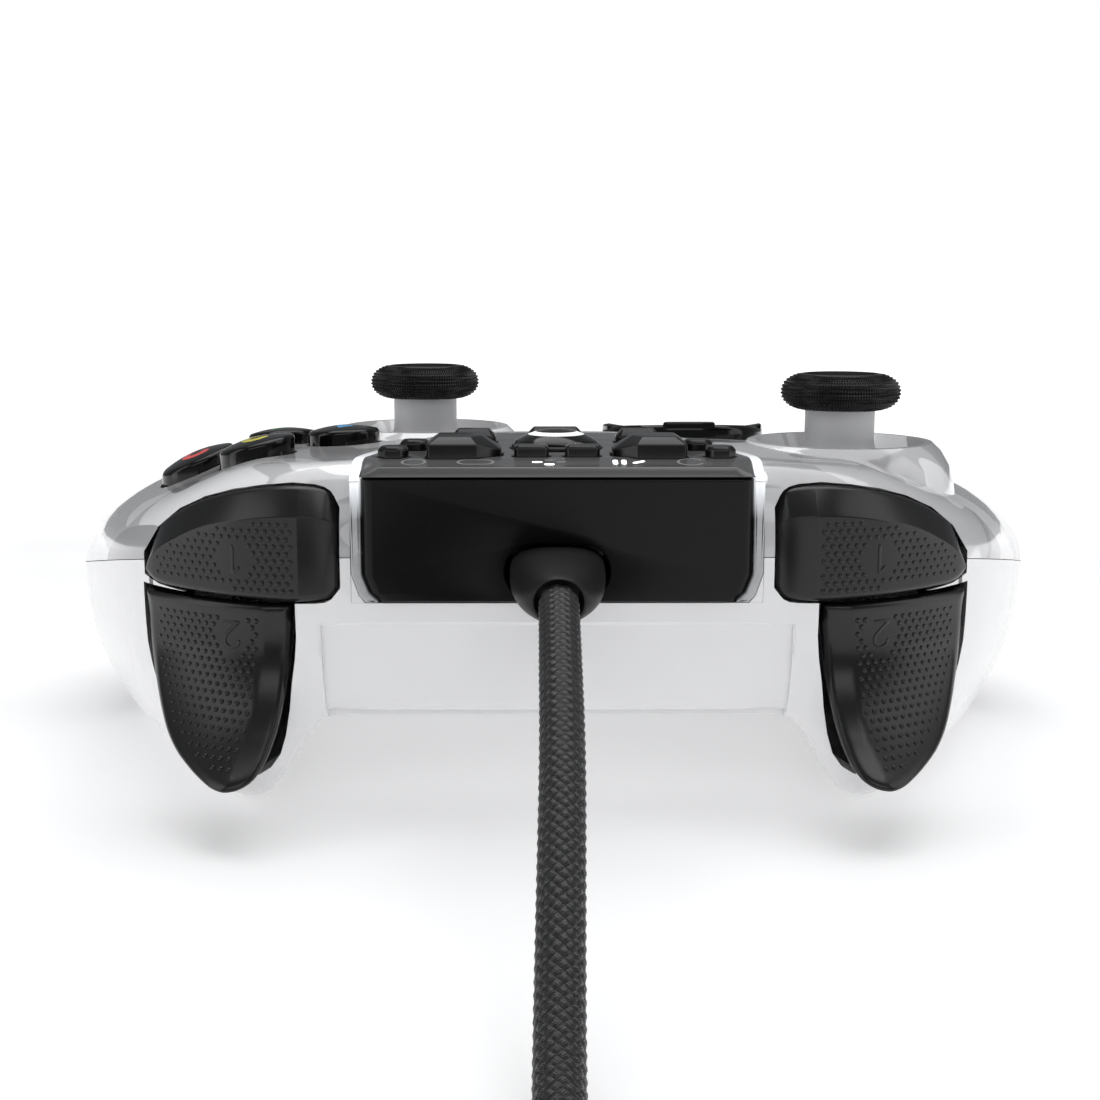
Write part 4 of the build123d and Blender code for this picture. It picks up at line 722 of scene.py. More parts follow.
def boot():
    n = 72
    rows = []
    X = np.array([1.0, 0, 0])
    # y, centre height, tilt of the section (degrees), width, depth, squareness
    for y, zc, tilt, w, d, p in ((-41.8, 35.4, 0, 12.1, 6.2, 2.9), (-43.7, 35.4, 0, 12.0, 6.3, 2.8), (-43.9, 35.4, 0, 11.7, 6.1, 2.8),
                                 (-44.35, 35.4, 0, 11.65, 6.1, 2.8), (-44.55, 35.4, 0, 12.0, 6.6, 2.7), (-46.5, 35.4, 0, 11.95, 6.9, 2.65),
                                 (-49.0, 35.4, 1, 11.8, 7.2, 2.5), (-51.5, 35.4, 3, 11.5, 7.45, 2.4), (-54.0, 35.38, 6, 11.0, 7.5, 2.25),
                                 (-56.2, 35.35, 9, 10.45, 7.4, 2.15), (-57.9, 35.32, 11.5, 9.8, 7.2, 2.08), (-59.2, 35.3, 13.5, 9.1, 7.0, 2.03),
                                 (-60.2, 35.27, 15, 8.35, 6.8, 2.0), (-61.0, 35.25, 15.8, 7.6, 6.6, 2.0), (-61.55, 35.23, 15.8, 6.95, 6.4, 2.0),
                                 (-61.9, 35.21, 15.8, 6.4, 6.2, 2.0), (-62.0, 35.2, 15.8, 6.05, 6.02, 2.0)):
        axis = np.array([0, -math.cos(math.radians(tilt)), -math.sin(math.radians(tilt))])
        up = np.cross(X, axis) * -1
        if up[2] < 0:
            up = -up
        c = np.array([0, y, zc])
        rows.append([c + X * u + up * v for u, v in superellipse(w, d, p, n)])
    end = np.array([0, -62.0, 35.2])
    axis = np.array([0, -math.cos(math.radians(15.8)), -math.sin(math.radians(15.8))])
    # recess and throat round the cord
    for back, r in ((0.02, 2.92), (0.35, 2.78), (0.9, 2.66), (1.7, 2.52), (2.8, 2.4)):
        rows.append([end - axis * back + X * (r * math.cos(2 * math.pi * i / n)) + up * (r * math.sin(2 * math.pi * i / n)) for i in range(n)])
    verts = [v for r in rows for v in r]
    faces = []
    for a in range(len(rows) - 1):
        for i in range(n):
            j = (i + 1) % n
            faces.append((a * n + i, a * n + j, (a + 1) * n + j, (a + 1) * n + i))
    faces.append(tuple(range(n))[::-1])
    faces.append(tuple(range((len(rows) - 1) * n, len(rows) * n)))
    return outward(build("cable_boot", verts, faces, [RUBBER], sharp=48))


boot_ob = boot()
place(boot_ob, "cable_plug")

# tie: a band of hook and loop strap wrapped round the coil, with an overlapping free end
tie_c = COIL_C[0] - COIL_MID_R


def tie():
    obs = []
    for y0, y1, g, name in ((-3.5, 3.5, 0.0, "band"), (-3.5, 3.5, 0.55, "flap")):
        o = round_poly(ccw([(tie_c - COIL_W / 2 - 0.8, 0.0), (tie_c + COIL_W / 2 + 0.8, 0.0), (tie_c + COIL_W / 2 + 0.8, COIL_H + 0.9),
                            (tie_c - COIL_W / 2 - 0.8, COIL_H + 0.9)]), 5.4, 8)
        i = inset(o, 0.75)
        if name == "flap":
            # the free end lies on the top of the band
            o = [(tie_c - 6.0, COIL_H + 1.0), (tie_c + 6.5, COIL_H + 1.0), (tie_c + 6.5, COIL_H + 1.55), (tie_c - 6.0, COIL_H + 1.55)]
            o = round_poly(ccw(o), 0.25, 3)
            n = len(o)
            verts = [(x, COIL_C[1] + y, z) for y in (y0 + 0.2, y1 - 0.2) for x, z in o]
            faces = [(k, (k + 1) % n, n + (k + 1) % n, n + k) for k in range(n)] + [tuple(range(n)), tuple(range(n, 2 * n))]
        else:
            n = len(o)
            verts = [(x, COIL_C[1] + y, max(z, 0.05)) for y in (y0, y1) for ring in (o, i) for x, z in ring]
            faces = []
            for k in range(n):
                m = (k + 1) % n
                faces += [(k, m, 2 * n + m, 2 * n + k), (n + m, n + k, 3 * n + k, 3 * n + m), (m, k, n + k, n + m),
                          (2 * n + k, 2 * n + m, 3 * n + m, 3 * n + k)]
        obs.append(bevel(outward(build("tie_" + name, verts, faces, [STRAP], sharp=40)), 0.12, 2, 50))
    return obs


tie_band, tie_flap = tie()
place(tie_band, "cord_tie")
follow(tie_flap, "housing")


# far plug: moulded body with grip ribs, and its metal shell
def usb_plug():
    bx = COIL_C[0] + 6.0
    zc = PLUG_Z + 3.9
    rows = []
    n = 64
    prof = [(13.9, 6.4, 5.2), (13.8, 7.2, 5.6), (13.2, 9.2, 6.4), (11.5, 11.6, 7.0), (9.5, 13.4, 7.4), (7.5, 14.6, 7.7)]
    x = 6.6
    while x > -7.5:
        prof += [(x, 15.3, 7.8), (x - 0.75, 15.3, 7.8), (x - 0.95, 14.7, 7.35), (x - 1.65, 14.7, 7.35)]
        x -= 1.9
    prof += [(-8.6, 15.4, 7.8), (-12.9, 15.4, 7.8), (-13.6, 15.1, 7.5), (-14.0, 14.2, 6.8)]
    for x, w, d in prof:
        rows.append([(bx + x, PLUG_Y + a, zc + b) for a, b in superellipse(w, d, 4.2 if x < 10 else 2.8, n)])
    verts = [v for r in rows for v in r]
    faces = []
    for a in range(len(rows) - 1):
        for i in range(n):
            j = (i + 1) % n
            faces.append((a * n + i, a * n + j, (a + 1) * n + j, (a + 1) * n + i))
    faces += [tuple(range(n)), tuple(range((len(rows) - 1) * n, len(rows) * n))]
    body = outward(build("usb_plug_grip", verts, faces, [RUBBER], sharp=35))
    # open-ended shell with a wall of 0.3 mm, two square holes in its broad sides shown as thin near-black plates of
    # painted shade over the uncut shell, and the tongue with contacts
    sx0, sx1 = COIL_C[0] - 20.0, COIL_C[0] - 8.0
    def ring(g):
        return round_poly(ccw([(-6.0 + g, -2.25 + g), (6.0 - g, -2.25 + g), (6.0 - g, 2.25 - g), (-6.0 + g, 2.25 - g)]), max(0.3, 0.55 - g), 4)
    o, i = ring(0.0), ring(0.32)
    n = len(o)
    verts = [(sx, PLUG_Y + a, zc + b) for sx, rr in ((sx1, o), (sx0 + 0.12, o), (sx0, inset(o, 0.12)), (sx0, i), (sx1 - 0.4, i)) for a, b in rr]
    faces = []
    for a in range(4):
        for k in range(n):
            m = (k + 1) % n
            faces.append((a * n + k, a * n + m, (a + 1) * n + m, (a + 1) * n + k))
    faces.append(tuple(range(4 * n, 5 * n)))
    faces.append(tuple(range(n))[::-1])
    shell = outward(build("usb_plug_tube", verts, faces, [BRIGHT], sharp=40))
    parts = []
    # painted shade: a thin near-black plate on the shell wherever a hole would show its dark inside
    for yy in (-2.9, 2.9):
        for zz, s in ((2.26, 1), (-2.26, -1)):
            q = round_poly([(-1.0, -0.9), (1.0, -0.9), (1.0, 0.9), (-1.0, 0.9)], 0.2, 3)
            v = [(sx0 + 5.2 + a, PLUG_Y + yy + b, zc + zz + t * s) for t in (-0.02, 0.03) for a, b in q]
            m = len(q)
            f = [(k, (k + 1) % m, m + (k + 1) % m, m + k) for k in range(m)] + [tuple(range(m)), tuple(range(m, 2 * m))]
            parts.append(outward(build("hole_shade_plate", v, f, [HOLE_SHADE], sharp=40)))
    tongue = [(sx0 + 0.6, -5.5, -1.2), (sx1 - 0.4, 5.5, 0.55)]
    (x0, y0, z0), (x1, y1, z1) = tongue
    v = [(x, PLUG_Y + y, zc + z) for x in (x0, x1) for y in (y0, y1) for z in (z0, z1)]
    f = [(0, 1, 3, 2), (4, 6, 7, 5), (0, 4, 5, 1), (2, 3, 7, 6), (0, 2, 6, 4), (1, 5, 7, 3)]
    parts.append(bevel(outward(build("tongue", v, f, [INNER], sharp=40)), 0.15, 2))
    for k, yy in enumerate((-3.5, -1.0, 1.0, 3.5)):
        v = [(x, PLUG_Y + yy + y, zc + z) for x in (sx0 + 0.9, sx1 - 1.0) for y in (-0.5, 0.5) for z in (0.5, 0.62)]
        parts.append(outward(build("contact", v, f, [steel_gold], sharp=40)))
    for p in parts:
        for m in list(p.modifiers):
            bpy.context.view_layer.objects.active = p
            bpy.ops.object.modifier_apply(modifier=m.name)
    inner = join("usb_plug_inner", parts)
    return body, shell, inner


steel_gold = steel("contact_gold", (0.75, 0.56, 0.22), 0.25)
plug_grip, plug_tube, plug_inner = usb_plug()
place(plug_grip, "usb_plug_body")
place(plug_tube, "usb_plug_shell")
follow(plug_inner, "housing")

# tops of the face buttons on the shell: centre, height, slope of the surface
FACE_SITES = {
    "blue_button": (-31.000, -9.800, 51.0366, -0.04960, 0.03640),
    "green_button": (-41.800, 1.000, 49.6062, -0.06688, 0.11200),
    "red_button": (-52.600, -9.800, 47.1483, -0.36131, -0.09747),
    "yellow_button": (-41.800, -20.600, 50.3487, -0.22173, -0.01517),
}

# ---------------------------------------------------------------- shells and grips: the solid's own skin, welded and smoothly shaded
def skin(node, mat, sharp, bevel_mm=0.0):
    me = frame["nodes"][node].data.copy()
    bm = bmesh.new()
    bm.from_mesh(me)
    bmesh.ops.remove_doubles(bm, verts=bm.verts, dist=2e-6)
    bmesh.ops.dissolve_degenerate(bm, dist=2e-6, edges=bm.edges)
    bm.to_mesh(me)
    bm.free()
    for a in ("custom_normal", "sharp_face", "sharp_edge"):
        if me.attributes.get(a):
            me.attributes.remove(me.attributes[a])
    me.materials.clear()
    me.materials.append(mat)
    me.shade_smooth()
    me.set_sharp_from_angle(angle=math.radians(sharp))
    ob = bpy.data.objects.new(node + "_skin", me)
    SCENE.collection.objects.link(ob)
    if bevel_mm:
        bevel(ob, bevel_mm, 3, 40)
    if node == "rear_shell":
        w = ob.modifiers.new("even_shading", "WEIGHTED_NORMAL")
        w.keep_sharp = True
    return ob


for node_, mat_, sharp_, bev_ in (("top_shell", CAMO, 24, 0.0), ("rear_shell", WHITE, 50, 0.0), ("left_side_grip", GRIP, 30, 0.0),
                                  ("right_side_grip", GRIP, 30, 0.0)):
    place(skin(node_, mat_, sharp_, bev_), node_)

# ---------------------------------------------------------------- plates with holes
def plate(name, layers, holes, mats, to3d, back=True, sharp=35, grid=None):
    """layers: closed outlines of one count with a depth each, last one is the face; holes: outlines through the face"""
    n = len(layers[0][0])
    verts, faces = [], []
    for outline, w in layers:
        verts += [to3d(u, v, w) for u, v in outline]
    for a in range(len(layers) - 1):
        for i in range(n):
            j = (i + 1) % n
            faces.append((a * n + i, a * n + j, (a + 1) * n + j, (a + 1) * n + i))
    w0, w1 = layers[0][1], layers[-1][1]
    starts = []
    for h in holes:
        b = min(0.22, 0.2 * abs(w1 - w0))
        grow = inset(h, -b)
        hl = []
        for k in range(4):
            a = math.pi / 2 * k / 3
            hl.append((inset(h, -b * (1 - math.cos(a))) if k else h, w1 - (b - b * math.sin(a)) * (1 if w1 > w0 else -1)))
        hl = [(h, w0)] + hl
        s = len(verts)
        m = len(h)
        for outline, w in hl:
            verts += [to3d(u, v, w) for u, v in outline]
        for a in range(len(hl) - 1):
            for i in range(m):
                j = (i + 1) % m
                faces.append((s + a * m + i, s + (a + 1) * m + i, s + (a + 1) * m + j, s + a * m + j))
        starts.append((s, s + (len(hl) - 1) * m, m, grow))

    def fill(first, hole_first, flip):
        from mathutils.geometry import tessellate_polygon
        loops = [[Vector((u, v, 0)) for u, v in (layers[-1][0] if first else layers[0][0])]]
        idx = list(range((len(layers) - 1) * n, len(layers) * n)) if first else list(range(n))
        for h, (s0, s1, m, grow) in zip(holes, starts):
            loops.append([Vector((u, v, 0)) for u, v in (grow if first else h)])
            idx += list(range(s1, s1 + m)) if first else list(range(s0, s0 + m))
        for t in tessellate_polygon(loops):
            faces.append(tuple(idx[q] for q in t))
    fill(True, True, False)
    if back:
        fill(False, False, True)
    return outward(build(name, verts, faces, mats, sharp=sharp))


def circle(cx, cy, r, n=48):
    return [(cx + r * math.cos(2 * math.pi * i / n), cy + r * math.sin(2 * math.pi * i / n)) for i in range(n)]


def slot_outline(cx, cy, w, h, n=14):
    r = h / 2
    a = [(cx + w / 2 - r + r * math.cos(t), cy + r * math.sin(t)) for t in np.linspace(-math.pi / 2, math.pi / 2, n)]
    b = [(cx - w / 2 + r + r * math.cos(t), cy + r * math.sin(t)) for t in np.linspace(math.pi / 2, 1.5 * math.pi, n)]
    return a + b


# ---------------------------------------------------------------- front cover
HALF = 24.9
cov = [(HALF, 47.3), (-HALF, 47.3), (-HALF, 34.9), (-24.0, 32.6), (-22.6, 31.3), (22.6, 31.3), (24.0, 32.6), (HALF, 34.9)]
cov = round_poly(ccw(cov), [0.3, 0.3, 1.5, 0.8, 0.5, 0.5, 0.8, 1.5], 4)
cov_layers = [(cov, 41.6)]
for k in range(8):
    a_ = math.pi / 2 * k / 7
    f_ = (HALF - 1.6 * (1 - math.cos(a_))) / HALF
    g_ = 0.35 * (1 - math.cos(a_))
    cov_layers.append(([(x * f_, z + (g_ if z < 32 else (-g_ if z > 47 else 0))) for x, z in cov], 43.8 - 1.6 * (1 - math.sin(a_))))
cover = plate("cover_face", cov_layers, [slot_outline(0, 35.4, 13.4, 7.0)], [SATIN_SMOOTH], lambda u, v, w: (u, -w, v))
place(cover, "front_cover")

# ---------------------------------------------------------------- control panel
BIG = [(-4.75, -2.0), (-1.6, -4.6), (4.4, -4.6), (4.75, -4.2), (4.75, 4.2), (4.4, 4.6), (-1.6, 4.6), (-4.75, 2.2)]


def hexagon(w, d, cut):
    return [(-w / 2, -d / 2 + cut), (-w / 2 + cut, -d / 2), (w / 2 - cut, -d / 2), (w / 2, -d / 2 + cut),
            (w / 2, d / 2 - cut), (w / 2 - cut, d / 2), (-w / 2 + cut, d / 2), (-w / 2, d / 2 - cut)]


PANEL_KEYS = [("left_large_button", 12.05, -34.0, BIG, 51.9), ("right_large_button", -12.05, -34.0, [(-x, y) for x, y in BIG][::-1], 51.9)]
for nm, cx, cy in (("left_front_small_button", 21.2, -36.6), ("right_front_small_button", -21.2, -36.6),
                   ("left_rear_small_button", 19.1, -28.1), ("right_rear_small_button", -19.1, -28.1)):
    PANEL_KEYS.append((nm, cx, cy, hexagon(3.9, 3.5, 1.0), 50.7))
for nm, cx, cy in (("mode_button", -3.3, -36.0), ("select_button", 3.3, -36.0)):
    PANEL_KEYS.append((nm, cx, cy, hexagon(4.5, 3.2, 0.5), 50.8))
for nm, cx, cy in (("menu_button", -11.6, -18.0), ("view_button", 11.6, -18.0)):
    PANEL_KEYS.append((nm, cx, cy, hexagon(6.3, 4.4, 0.8), 51.2))
PANEL_KEYS.append(("share_button", 0.0, -10.0, hexagon(8.2, 3.8, 0.8), 50.7))
DASH = 49.3
PANEL = [(HALF, -43.75), (HALF, -37), (21, -20), (15.5, -8.5), (8, -3.5)]
pan = round_poly(ccw(PANEL + [(-x, y) for x, y in reversed(PANEL)]), [0.3, 3.0, 6.0, 4.0, 4.0, 4.0, 4.0, 6.0, 3.0, 0.3], 5)


def front_cut(outline, limit):
    return [(x, max(y, limit)) for x, y in outline]


def droop(y):
    """the panel's front part leans down towards its front edge"""
    return 0.135 * max(0.0, -38.2 - y)


def corner(x, y):
    """and its two front corners are cut down"""
    return 1.1 * min(1.0, max(0.0, (abs(x) - 22.5) / 2.4)) * min(1.0, max(0.0, (-39.9 - y) / 3.0))


def leaned(ob, y0=-38.2):
    me = ob.data
    bm = bmesh.new()
    bm.from_mesh(me)
    for co, no in (((0, y0, 0), (0, 1, 0)), ((22.5, 0, 0), (1, 0, 0)), ((-22.5, 0, 0), (1, 0, 0)), ((0, -39.9, 0), (0, 1, 0)), ((0, -41.4, 0), (0, 1, 0))):
        bmesh.ops.bisect_plane(bm, geom=bm.verts[:] + bm.edges[:] + bm.faces[:], plane_co=[c * MM for c in co], plane_no=no, dist=1e-6)
    bmesh.ops.triangulate(bm, faces=[f for f in bm.faces if len(f.verts) > 4])
    for v in bm.verts:
        if v.co.z > 0.0478:
            x, y = v.co.x / MM, v.co.y / MM
            v.co.z -= (droop(y) + corner(x, y)) * MM
    bm.to_mesh(me)
    bm.free()
    return ob


pan_layers = [(pan, 47.45), (pan, 47.55), (front_cut(pan, -43.2), 49.1), (front_cut(inset(pan, 0.05), -43.12), 49.2),
              (front_cut(inset(pan, 0.12), -43.02), 49.27), (front_cut(inset(pan, 0.2), -42.85), DASH)]
holes = [ccw(round_poly(ccw([(cx + x, cy + y) for x, y in inset(o, -0.25)]), 0.3, 3)) for nm, cx, cy, o, zt in PANEL_KEYS]
holes.append(circle(0.0, -25.0, 6.4, 64))
panel = plate("panel_face", pan_layers, holes, [PANEL_M], lambda u, v, w: (u, v, w), sharp=30)
place(leaned(panel), "dash_panel")

# light strip round the panel and down both sides of the cover
wide = []
pn = len(PANEL)
strip_in = PANEL + [(-x, y) for x, y in reversed(PANEL)]
strip_out = inset(ccw(strip_in)[:], -1.3)
strip_in = ccw(strip_in)
# both loops run the same way; the front edge stays open
k0 = min(range(len(strip_in)), key=lambda k: strip_in[k][1] - 0.001 * strip_in[k][0])
inner = strip_in[k0:] + strip_in[:k0]
outer = strip_out[k0:] + strip_out[:k0]
if inner[1][1] < -43.0:
    inner, outer = inner[1:] + inner[:1], outer[1:] + outer[:1]
outer = [(x, max(y, -43.8)) for x, y in outer]


def densify(pts, step=0.8):
    out = [pts[0]]
    for p, q in zip(pts, pts[1:]):
        m = max(1, int(math.dist(p, q) / step))
        out += [(p[0] + (q[0] - p[0]) * k / m, p[1] + (q[1] - p[1]) * k / m) for k in range(1, m + 1)]
    return out


def soften(pts, r):
    """open path with its inner corners rounded"""
    out = [pts[0]]
    for a, p, b in zip(pts, pts[1:], pts[2:]):
        a, p, b = np.array(a), np.array(p), np.array(b)
        u, v = (a - p) / np.linalg.norm(a - p), (b - p) / np.linalg.norm(b - p)
        t = min(r, 0.45 * np.linalg.norm(a - p), 0.45 * np.linalg.norm(b - p))
        for k in range(7):
            w = k / 6
            q = (1 - w) ** 2 * (p + u * t) + 2 * w * (1 - w) * p + w * w * (p + v * t)
            out.append(tuple(q))
    return out + [pts[-1]]


def resample(pts, n):
    p = np.array(pts, float)
    d = np.concatenate([[0], np.cumsum(np.linalg.norm(np.diff(p, axis=0), axis=1))])
    s = np.linspace(0, d[-1], n)
    return np.stack([np.interp(s, d, p[:, 0]), np.interp(s, d, p[:, 1])], 1)


NS = 170
rin, rout = resample(soften(inner, 4.0), NS), resample(soften(outer, 4.6), NS)
cross_sec = [(0.0, 47.0), (0.0, 49.05), (0.04, 49.2), (0.12, 49.3), (0.25, 49.35), (0.75, 49.35), (0.88, 49.3), (0.96, 49.2), (1.0, 49.05), (1.0, 47.0)]
sv, sf = [], []
for i in range(NS):
    for t, z in cross_sec:
        q_ = rin[i] * (1 - t) + rout[i] * t
        sv.append((*q_, z - (droop(q_[1]) + corner(*q_) + 0.5 * max(0.0, -42.95 - q_[1]) if z > 48 else 0.0)))
m_ = len(cross_sec)
for i in range(NS - 1):
    for k in range(m_):
        j = (k + 1) % m_
        sf.append((i * m_ + k, i * m_ + j, (i + 1) * m_ + j, (i + 1) * m_ + k))
sf += [tuple(range(m_)), tuple(range((NS - 1) * m_, NS * m_))]


def glowing_strip():
    k = Nodes("light_strip")
    sep = k.n.new("ShaderNodeSeparateXYZ")
    k.link(k.coord.outputs["Object"], sep.inputs[0])
    up = k.span(sep.outputs[2], 0.0420, 0.0475, 0.0, 1.0)
    near = k.span(sep.outputs[1], -0.026, -0.0400, 0.0, 1.0)
    g = k.maths("MULTIPLY", up, near)
    n = k.noise(420.0, 2.0)
    k.set(color=k.ramp(n, [(0.3, (0.40, 0.41, 0.42)), (0.7, (0.48, 0.49, 0.50))]), rough=k.span(n, 0.3, 0.7, 0.2, 0.28), coat=0.4)
    k.set(emit=(0.93, 0.96, 1.0), emit_s=k.maths("MULTIPLY", g, 0.9))
    return k.mat


GLOW = glowing_strip()
strip_ob = outward(build("strip_top", sv, sf, [GLOW], sharp=40))
legs = []
for side in (1, -1):
    leg = [(HALF + 0.02, 47.02), (HALF + 0.02, 34.9), (24.02, 32.6), (22.62, 31.32), (24.4, 31.32), (25.2, 32.2), (26.2, 35.0), (26.2, 47.02)]
    leg = round_poly(ccw([(side * x, z) for x, z in leg]), [0.05, 1.5, 0.8, 0.15, 0.15, 0.8, 1.5, 0.05] if side > 0 else [0.05, 1.5, 0.8, 0.15, 0.15, 0.8, 1.5, 0.05][::-1], 4)
    lay_ = [(leg, 41.6)] + [(inset(leg, 0.3 * (1 - math.cos(math.pi / 2 * k / 4))), 43.45 - 0.3 * (1 - math.sin(math.pi / 2 * k / 4))) for k in range(5)]
    legs.append(plate("strip_leg", lay_, [], [GLOW], lambda u, v, w: (u, -w, v)))
    foot = ccw([(side * x, z) for x, z in ((26.22, 35.0), (25.25, 32.25), (24.5, 31.3), (26.22, 31.3))])
    legs.append(plate("strip_foot", [(foot, 41.6), (foot, 43.3), (inset(foot, 0.08), 43.38)], [], [WHITE], lambda u, v, w: (u, -w, v)))
strip_all = join("strip_whole", [strip_ob] + legs)
place(strip_all, "light_guide")

# buttons of the panel
BIG_TOP = [(-2.2, -0.9), (-0.9, -3.0), (3.2, -3.0), (3.5, -2.7), (3.5, 2.7), (3.2, 3.0), (-0.9, 3.0), (-2.2, 1.1)]
for nm, cx, cy, o, zt in PANEL_KEYS:
    o = ccw(o)
    if "large" in nm:
        top = BIG_TOP if cx > 0 else [(-x, y) for x, y in BIG_TOP][::-1]
        top = ccw(top)
        layers_ = [(inset(o, 0.0), 46.1), (o, [50.2 if abs(x) > 4 and (x < 0) == (cx > 0) else 51.0 for x, y in o]), (top, zt)]
    elif "small" in nm:
        layers_ = [(o, 46.1), (o, 50.2), (inset(o, 0.4), zt)]
    elif nm in ("mode_button", "select_button"):
        layers_ = [(o, 46.1), (o, 50.4), (inset(o, 0.35), zt)]
    else:
        layers_ = [(o, 46.1), (o, zt - 1.0), (inset(o, 0.95), zt)]
    key = stack(nm + "_cap", layers_, [BUTTON], centre=(cx, cy), sharp=60)
    bevel(outward(key), 0.16, 3, 8)
    place(key, nm)

# guide button with a lit ring mark
gp = [(0, 46.1), (6.13, 46.1), (6.15, 46.3), (6.15, 49.45)]
for k in range(1, 6):
    a_ = math.pi / 2 * k / 5
    gp.append((6.15 - 0.4 * (1 - math.cos(a_)), 49.42 + 0.42 * math.sin(a_)))
for r_ in np.linspace(5.6, 0, 14):
    gp.append((float(r_), 41.6 + math.sqrt(10.25 ** 2 - r_ * r_)))
guide = lathe("guide_dome", gp, (0, -25.0), 96, [GLOSS], 40)
place(guide, "guide_button")


def ribbon(name, paths, width, place3d, mat, lift=0.02, thick=0.0):
    """flat strokes laid on a surface; each path is a list of (u, v)"""
    verts, faces = [], []
    for path in paths:
        closed = math.dist(path[0], path[-1]) < 1e-6
        p = np.array(densify(path, 0.22))
        t = np.gradient(p, axis=0)
        if closed:
            t[0] = t[-1] = p[1] - p[-2]
        t /= np.maximum(np.linalg.norm(t, axis=1), 1e-9)[:, None]
        nrm = np.stack([-t[:, 1], t[:, 0]], 1)
        s = len(verts)
        for q, m in zip(p, nrm):
            for w in (-0.5, -0.3, 0.3, 0.5):
                u, v = q + m * width * w
                verts.append(place3d(u, v, lift if abs(w) < 0.4 or thick == 0 else lift - thick))
        for i in range(len(p) - 1):
            for k in range(3):
                a = s + i * 4 + k
                faces.append((a, a + 1, a + 5, a + 4))
        # round ends
        if not closed:
            for q, dirn, base in ((p[0], -t[0], s), (p[-1], t[-1], s + (len(p) - 1) * 4)):
                c = len(verts)
                side_ = np.array([-dirn[1], dirn[0]])
                ring_ = [q + (dirn * math.sin(a) + side_ * math.cos(a)) * width / 2 for a in np.linspace(0, math.pi, 9)]
                verts.append(place3d(q[0], q[1], lift))
                for r in ring_:
                    verts.append(place3d(r[0], r[1], lift - thick))
                for k in range(8):
                    faces.append((c, c + 1 + k, c + 2 + k))
    ob = build(name, verts, faces, [mat], sharp=60)
    return ob


def face_up(ob, direction):
    me = ob.data
    flip = [p.index for p in me.polygons if p.normal.dot(Vector(direction)) < 0]
    if flip:
        bm = bmesh.new()
        bm.from_mesh(me)
        bm.faces.ensure_lookup_table()
        bmesh.ops.reverse_faces(bm, faces=[bm.faces[i] for i in flip])
        bm.to_mesh(me)
        bm.free()
    return ob


def ring_path(cx, cy, r, a0=0.0, a1=360.0, n=48):
    return [(cx + r * math.cos(math.radians(a0 + (a1 - a0) * i / n)), cy + r * math.sin(math.radians(a0 + (a1 - a0) * i / n))) for i in range(n + 1)]


guide_top = lambda u, v, l: (u, -25.0 + v, 41.6 + math.sqrt(max(0.0, 10.25 ** 2 - u * u - v * v)) + l)
mark = face_up(ribbon("guide_mark", [ring_path(0, 0, 3.3)], 1.1, guide_top, MARK, 0.012), (0, 0, 1))
follow(mark, NODE_BODY["guide_button"])

# small marks of the panel's front edge
on_panel = lambda u, v, l: (u, v, DASH - droop(v) + l)
pill = [(-10.4 + s * (1.15 + 1.1 * math.sin(a)), -40.5 + s * 1.1 * -math.cos(a)) for s in (1, -1) for a in np.linspace(0, math.pi, 13)]
marks = [face_up(ribbon("mark_ring", [ring_path(-18.3, -40.5, 1.45)], 0.3, on_panel, ICON_DIM), (0, 0, 1)),
         face_up(ribbon("mark_pill", [pill + pill[:1]], 0.34, on_panel, ICON_DIM), (0, 0, 1)),
         face_up(ribbon("mark_ring2", [ring_path(17.0, -40.5, 1.6, 30, 330)], 0.34, on_panel, ICON_DIM), (0, 0, 1)),
         face_up(ribbon("mark_lit", [[(-2.9, -40.5), (-2.2, -40.5)], [(-1.35, -41.65), (-0.65, -41.65)], [(7.4, -41.3), (7.4, -39.8)],
                                     [(8.5, -41.3), (8.5, -39.8)], [(9.9, -40.9), (10.9, -40.2)]], 0.62, on_panel, ICON_ON), (0, 0, 1)),
         face_up(ribbon("mark_dots", [[(0.2, -40.5), (0.9, -40.5)], [(-1.35, -39.5), (-0.65, -39.5)]], 0.55, on_panel, ICON_DIM), (0, 0, 1))]
follow(join("panel_marks", marks), "housing")

